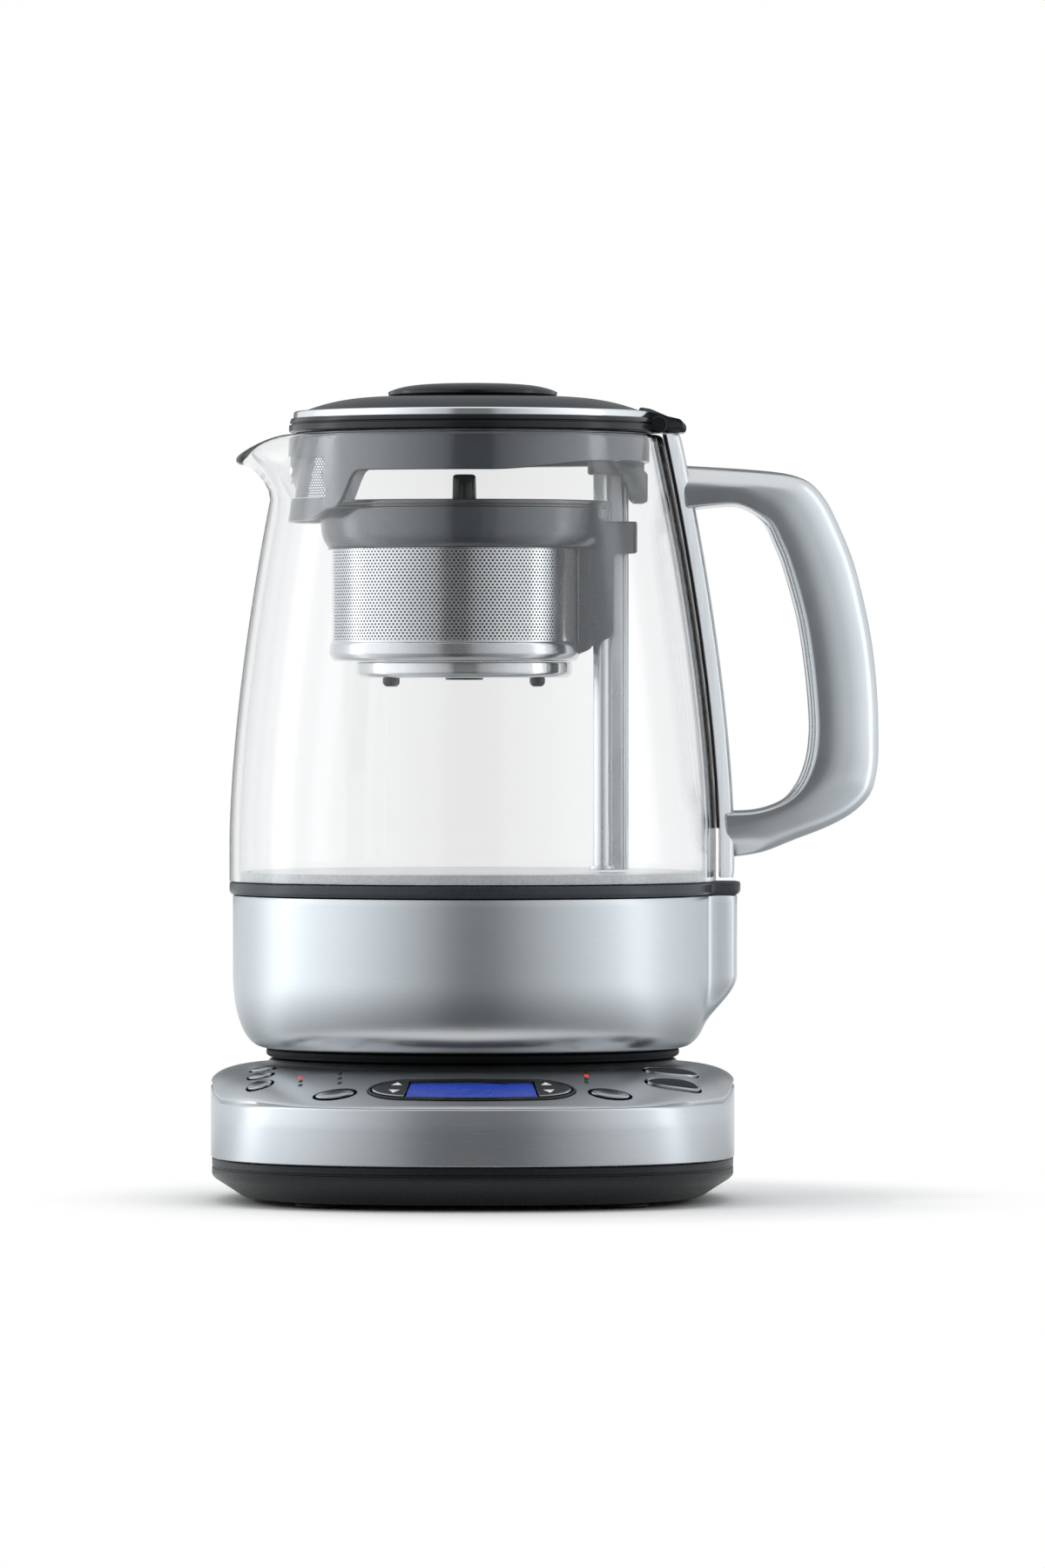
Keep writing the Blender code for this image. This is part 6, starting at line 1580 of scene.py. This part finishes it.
def make_connector():
    outer, floor, low = WELL_RADIUS - THIN, SEAT_TOP - 5 * MM, SEAT_TOP - 6.6 * MM
    tip, pin, cone, inner = (3 * MM, 1 * MM), (4 * MM, 0.4 * MM), 1 * MM, outer - 1.6 * MM
    fillet = 0.4 * MM
    section = [(CORE, PIN_TOP), (tip[0], PIN_TOP, tip[1]), (pin[0], PIN_TOP - cone, pin[1]),
               (pin[0], floor), (inner, floor), (inner, SEAT_TOP), (outer, SEAT_TOP), (outer, low),
               (CORE, low)]
    add("socket_base", *turned(rounded(section, fillet), steps=80), "base", "black",
        "connector_plastic", ("base_connector",), 35)


# Pieces that keep their CAD shape
KEPT_LOOKS = {
    "black": ("connector_shutter", "jug_connector", "cord_inlet", "column_gasket"),
    "board": ("control_board", "power_board"),
    "silicone": ("glass_seal",),
    "fastener": ("heating_element", "temperature_probe", "lift_motor", "handle_screw_upper",
                 "handle_screw_lower", "tray_screw_front_left", "tray_screw_front_right",
                 "tray_screw_rear_left", "tray_screw_rear_right"),
}


def dress_kept():
    for look, nodes in KEPT_LOOKS.items():
        for node in nodes:
            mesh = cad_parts[node].data
            mesh.materials.clear()
            mesh.materials.append(LOOKS[look])
            mesh.polygons.foreach_set("material_index", [0] * len(mesh.polygons))


# The studio, in metres and degrees; 0 degrees is behind the camera
FLOOR_FADE = (0.1, 0.19)
RING_DISTANCE = 4.2
RING_LOW = 0.002
RING_HIGH = 6
RING_GLOW = (
    (-150, 0.9), (-125, 1.0), (-112, 1.3), (-108, 2.4), (-98, 2.4), (-93, 1.6), (-75, 1.45),
    (-60, 1.25), (-48, 1.05), (-36, 0.85), (-26, 0.68), (-17, 0.55), (-10, 0.19), (11, 0.19),
    (17, 0.42), (30, 0.62), (45, 0.85), (60, 1.05), (76, 1.25), (80, 2.0), (88, 2.0), (94, 1.1),
    (125, 0.9), (150, 0.8),
)
BACK_GLOW = ((151, 0.8), (158, 0.25), (202, 0.25), (209, 0.9))
GLOW_TINT = (0.925, 0.97, 1.0)
FLOOR_CARD_REACH = ((0.15, 0.35), (0.3, 0.6), (0.7, 0.95), (4.1, 1.0))
FLOOR_CARD_LIFT = 0.0005
CAMERA_AWAY = 3.5
CAMERA_HEIGHT = 0.182
CAMERA_SIDE = 17.7 * MM
CAMERA_PITCH = math.radians(0.56)
SENSOR_WIDTH = 36
LENS_LENGTH = 226
CLIP_END = 20
FLOOR_HALF = 6
LAMP_TARGET = (0, 0, 0.14)
# Each lamp: place, size in metres, power in watts
LAMPS = {
    "left_softbox": ((-1.6, -1.2, 1.5), (1.2, 1.6), 14),
    "right_softbox": ((1.6, -1.3, 1.4), (1.2, 1.6), 12),
    "top_softbox": ((0, 0.1, 2.2), (1.8, 1.4), 16),
}


def staged(name, verts, faces, look):
    mesh = bpy.data.meshes.new(name)
    mesh.from_pydata(verts, [], faces)
    mesh.materials.append(look)
    obj = bpy.data.objects.new(name, mesh)
    bpy.context.scene.collection.objects.link(obj)
    return obj


def ray_share(look, kinds):
    """1 for rays of the given kinds, else 0."""
    path = add_node(look, "LightPath")
    source = path.outputs[kinds[0]]
    for kind in kinds[1:]:
        both = add_node(look, "Math")
        both.operation = "MAXIMUM"
        join(look, source, both.inputs[0])
        join(look, path.outputs[kind], both.inputs[1])
        source = both.outputs[0]
    return source


SEEN = ("Is Camera Ray", "Is Glossy Ray", "Is Transmission Ray")
WORLD_LIGHT = 0.62
WORLD_SEEN = 1.0


def make_world():
    world = bpy.data.worlds.new("studio")
    bpy.context.scene.world = world
    world.use_nodes = True
    background = world.node_tree.nodes["Background"]
    background.inputs["Color"].default_value = (1, 1, 1, 1)
    span = map_range(world, ray_share(world, SEEN), WORLD_LIGHT, WORLD_SEEN)
    join(world, span.outputs[0], background.inputs["Strength"])


def floor_look():
    """Pale floor that the eye sees turn white away from the maker."""
    look = finish_nodes("studio_floor", (0.86, 0.865, 0.87), 0.55, Specular_IOR_Level=0.2,
                        Emission_Color=(1, 1, 1, 1), Emission_Strength=0.0)
    length, share = add_node(look, "VectorMath"), add_node(look, "Math")
    length.operation, share.operation = "LENGTH", "MULTIPLY"
    join(look, add_node(look, "TexCoord").outputs["Object"], length.inputs[0])
    away = map_range(look, length.outputs["Value"], 0.0, 1.0, FLOOR_FADE)
    away.interpolation_type = "SMOOTHSTEP"
    join(look, ray_share(look, SEEN), share.inputs[0])
    join(look, away.outputs[0], share.inputs[1])
    both = add_node(look, "MixShader")
    join(look, share.outputs[0], both.inputs[0])
    join(look, principled(look).outputs[0], both.inputs[1])
    join(look, add_node(look, "Emission").outputs[0], both.inputs[2])
    show(look, both.outputs[0])
    return look


def card_look():
    """A glowing card whose brightness is stored at its corners."""
    look = bpy.data.materials.new("studio_card")
    look.use_nodes = True
    look.node_tree.nodes.remove(principled(look))
    value = add_node(look, "Attribute")
    value.attribute_name = "glow"
    glow = add_node(look, "Emission", Color=(*GLOW_TINT, 1))
    join(look, value.outputs["Fac"], glow.inputs["Strength"])
    show(look, glow.outputs[0])
    return look


def glowing_card(name, verts, faces, glows, look):
    """A card that only reflections and rays bent by glass meet."""
    obj = staged(name, verts, faces, look)
    obj.data.attributes.new("glow", "FLOAT", "POINT").data.foreach_set("value", glows)
    obj.visible_camera = obj.visible_diffuse = obj.visible_shadow = False
    obj.visible_volume_scatter = False
    return obj


def towards(azimuth, distance, height):
    """A place round the maker; azimuth 0 is behind the camera and grows to the right."""
    turn = math.radians(azimuth)
    return AXIS_X + distance * math.sin(turn), -distance * math.cos(turn), height


def curtain(name, glow, look, bent=True):
    """An upright card round the maker; bent light meets it too, unless told otherwise."""
    verts, glows = [], []
    for azimuth, value in glow:
        verts += [towards(azimuth, RING_DISTANCE, RING_LOW), towards(azimuth, RING_DISTANCE, RING_HIGH)]
        glows += [value, value]
    faces = [(i, i + 2, i + 3, i + 1) for i in range(0, len(verts) - 2, 2)]
    glowing_card(name, verts, faces, glows, look).visible_transmission = bent


def floor_card(look):
    verts, glows = [], []
    for azimuth, value in RING_GLOW:
        for distance, share in FLOOR_CARD_REACH:
            verts.append(towards(azimuth, distance, FLOOR_CARD_LIFT))
            glows.append(value * share)
    row = len(FLOOR_CARD_REACH)
    faces = [(i * row + j, i * row + j + 1, (i + 1) * row + j + 1, (i + 1) * row + j)
             for i in range(len(RING_GLOW) - 1) for j in range(row - 1)]
    glowing_card("floor_card", verts, faces, glows, look)


def make_lamp(name, place, size, power):
    data = bpy.data.lights.new(name, "AREA")
    data.shape = "RECTANGLE"
    data.size, data.size_y = size
    data.energy = power
    lamp = bpy.data.objects.new(name, data)
    lamp.location = place
    way = Vector(LAMP_TARGET) - Vector(place)
    lamp.rotation_euler = way.to_track_quat("-Z", "Y").to_euler()
    bpy.context.scene.collection.objects.link(lamp)
    lamp.visible_camera = lamp.visible_glossy = lamp.visible_transmission = False


def make_studio():
    make_world()
    corners = [(x * FLOOR_HALF, y * FLOOR_HALF, 0) for x, y in ((-1, -1), (1, -1), (1, 1), (-1, 1))]
    staged("floor", corners, [(0, 1, 2, 3)], floor_look())
    glow = card_look()
    curtain("ring_card", RING_GLOW, glow)
    curtain("back_card", BACK_GLOW, glow, False)
    floor_card(glow)
    for name, lamp in LAMPS.items():
        make_lamp(name, *lamp)
    camera = bpy.data.objects.new("camera", bpy.data.cameras.new("camera"))
    camera.location = (AXIS_X + CAMERA_SIDE, -CAMERA_AWAY, CAMERA_HEIGHT)
    camera.rotation_euler = (math.pi / 2 - CAMERA_PITCH, 0, 0)
    camera.data.sensor_width = SENSOR_WIDTH
    camera.data.lens = LENS_LENGTH
    camera.data.clip_end = CLIP_END
    bpy.context.scene.collection.objects.link(camera)
    bpy.context.scene.camera = camera


PIECES = (
    make_glass, make_cup, make_band, make_foot, make_floor, make_post, make_drum, make_drum_foot,
    make_rim, make_basket_lid, make_arch, make_grip, make_column, make_lid_rim, make_trim, make_dome,
    make_knob, make_skirt, make_cheeks, make_filter, make_housing, make_tray, make_pads,
    make_buttons, make_shade_wells, make_lights, make_display,
)
for make in PIECES:
    make()
for node, side in (("rocker_left", -1), ("rocker_right", 1)):
    make_rocker(node, side)
make_connector()
dress_kept()
make_studio()
scene = bpy.context.scene
scene.view_settings.view_transform = "Standard"
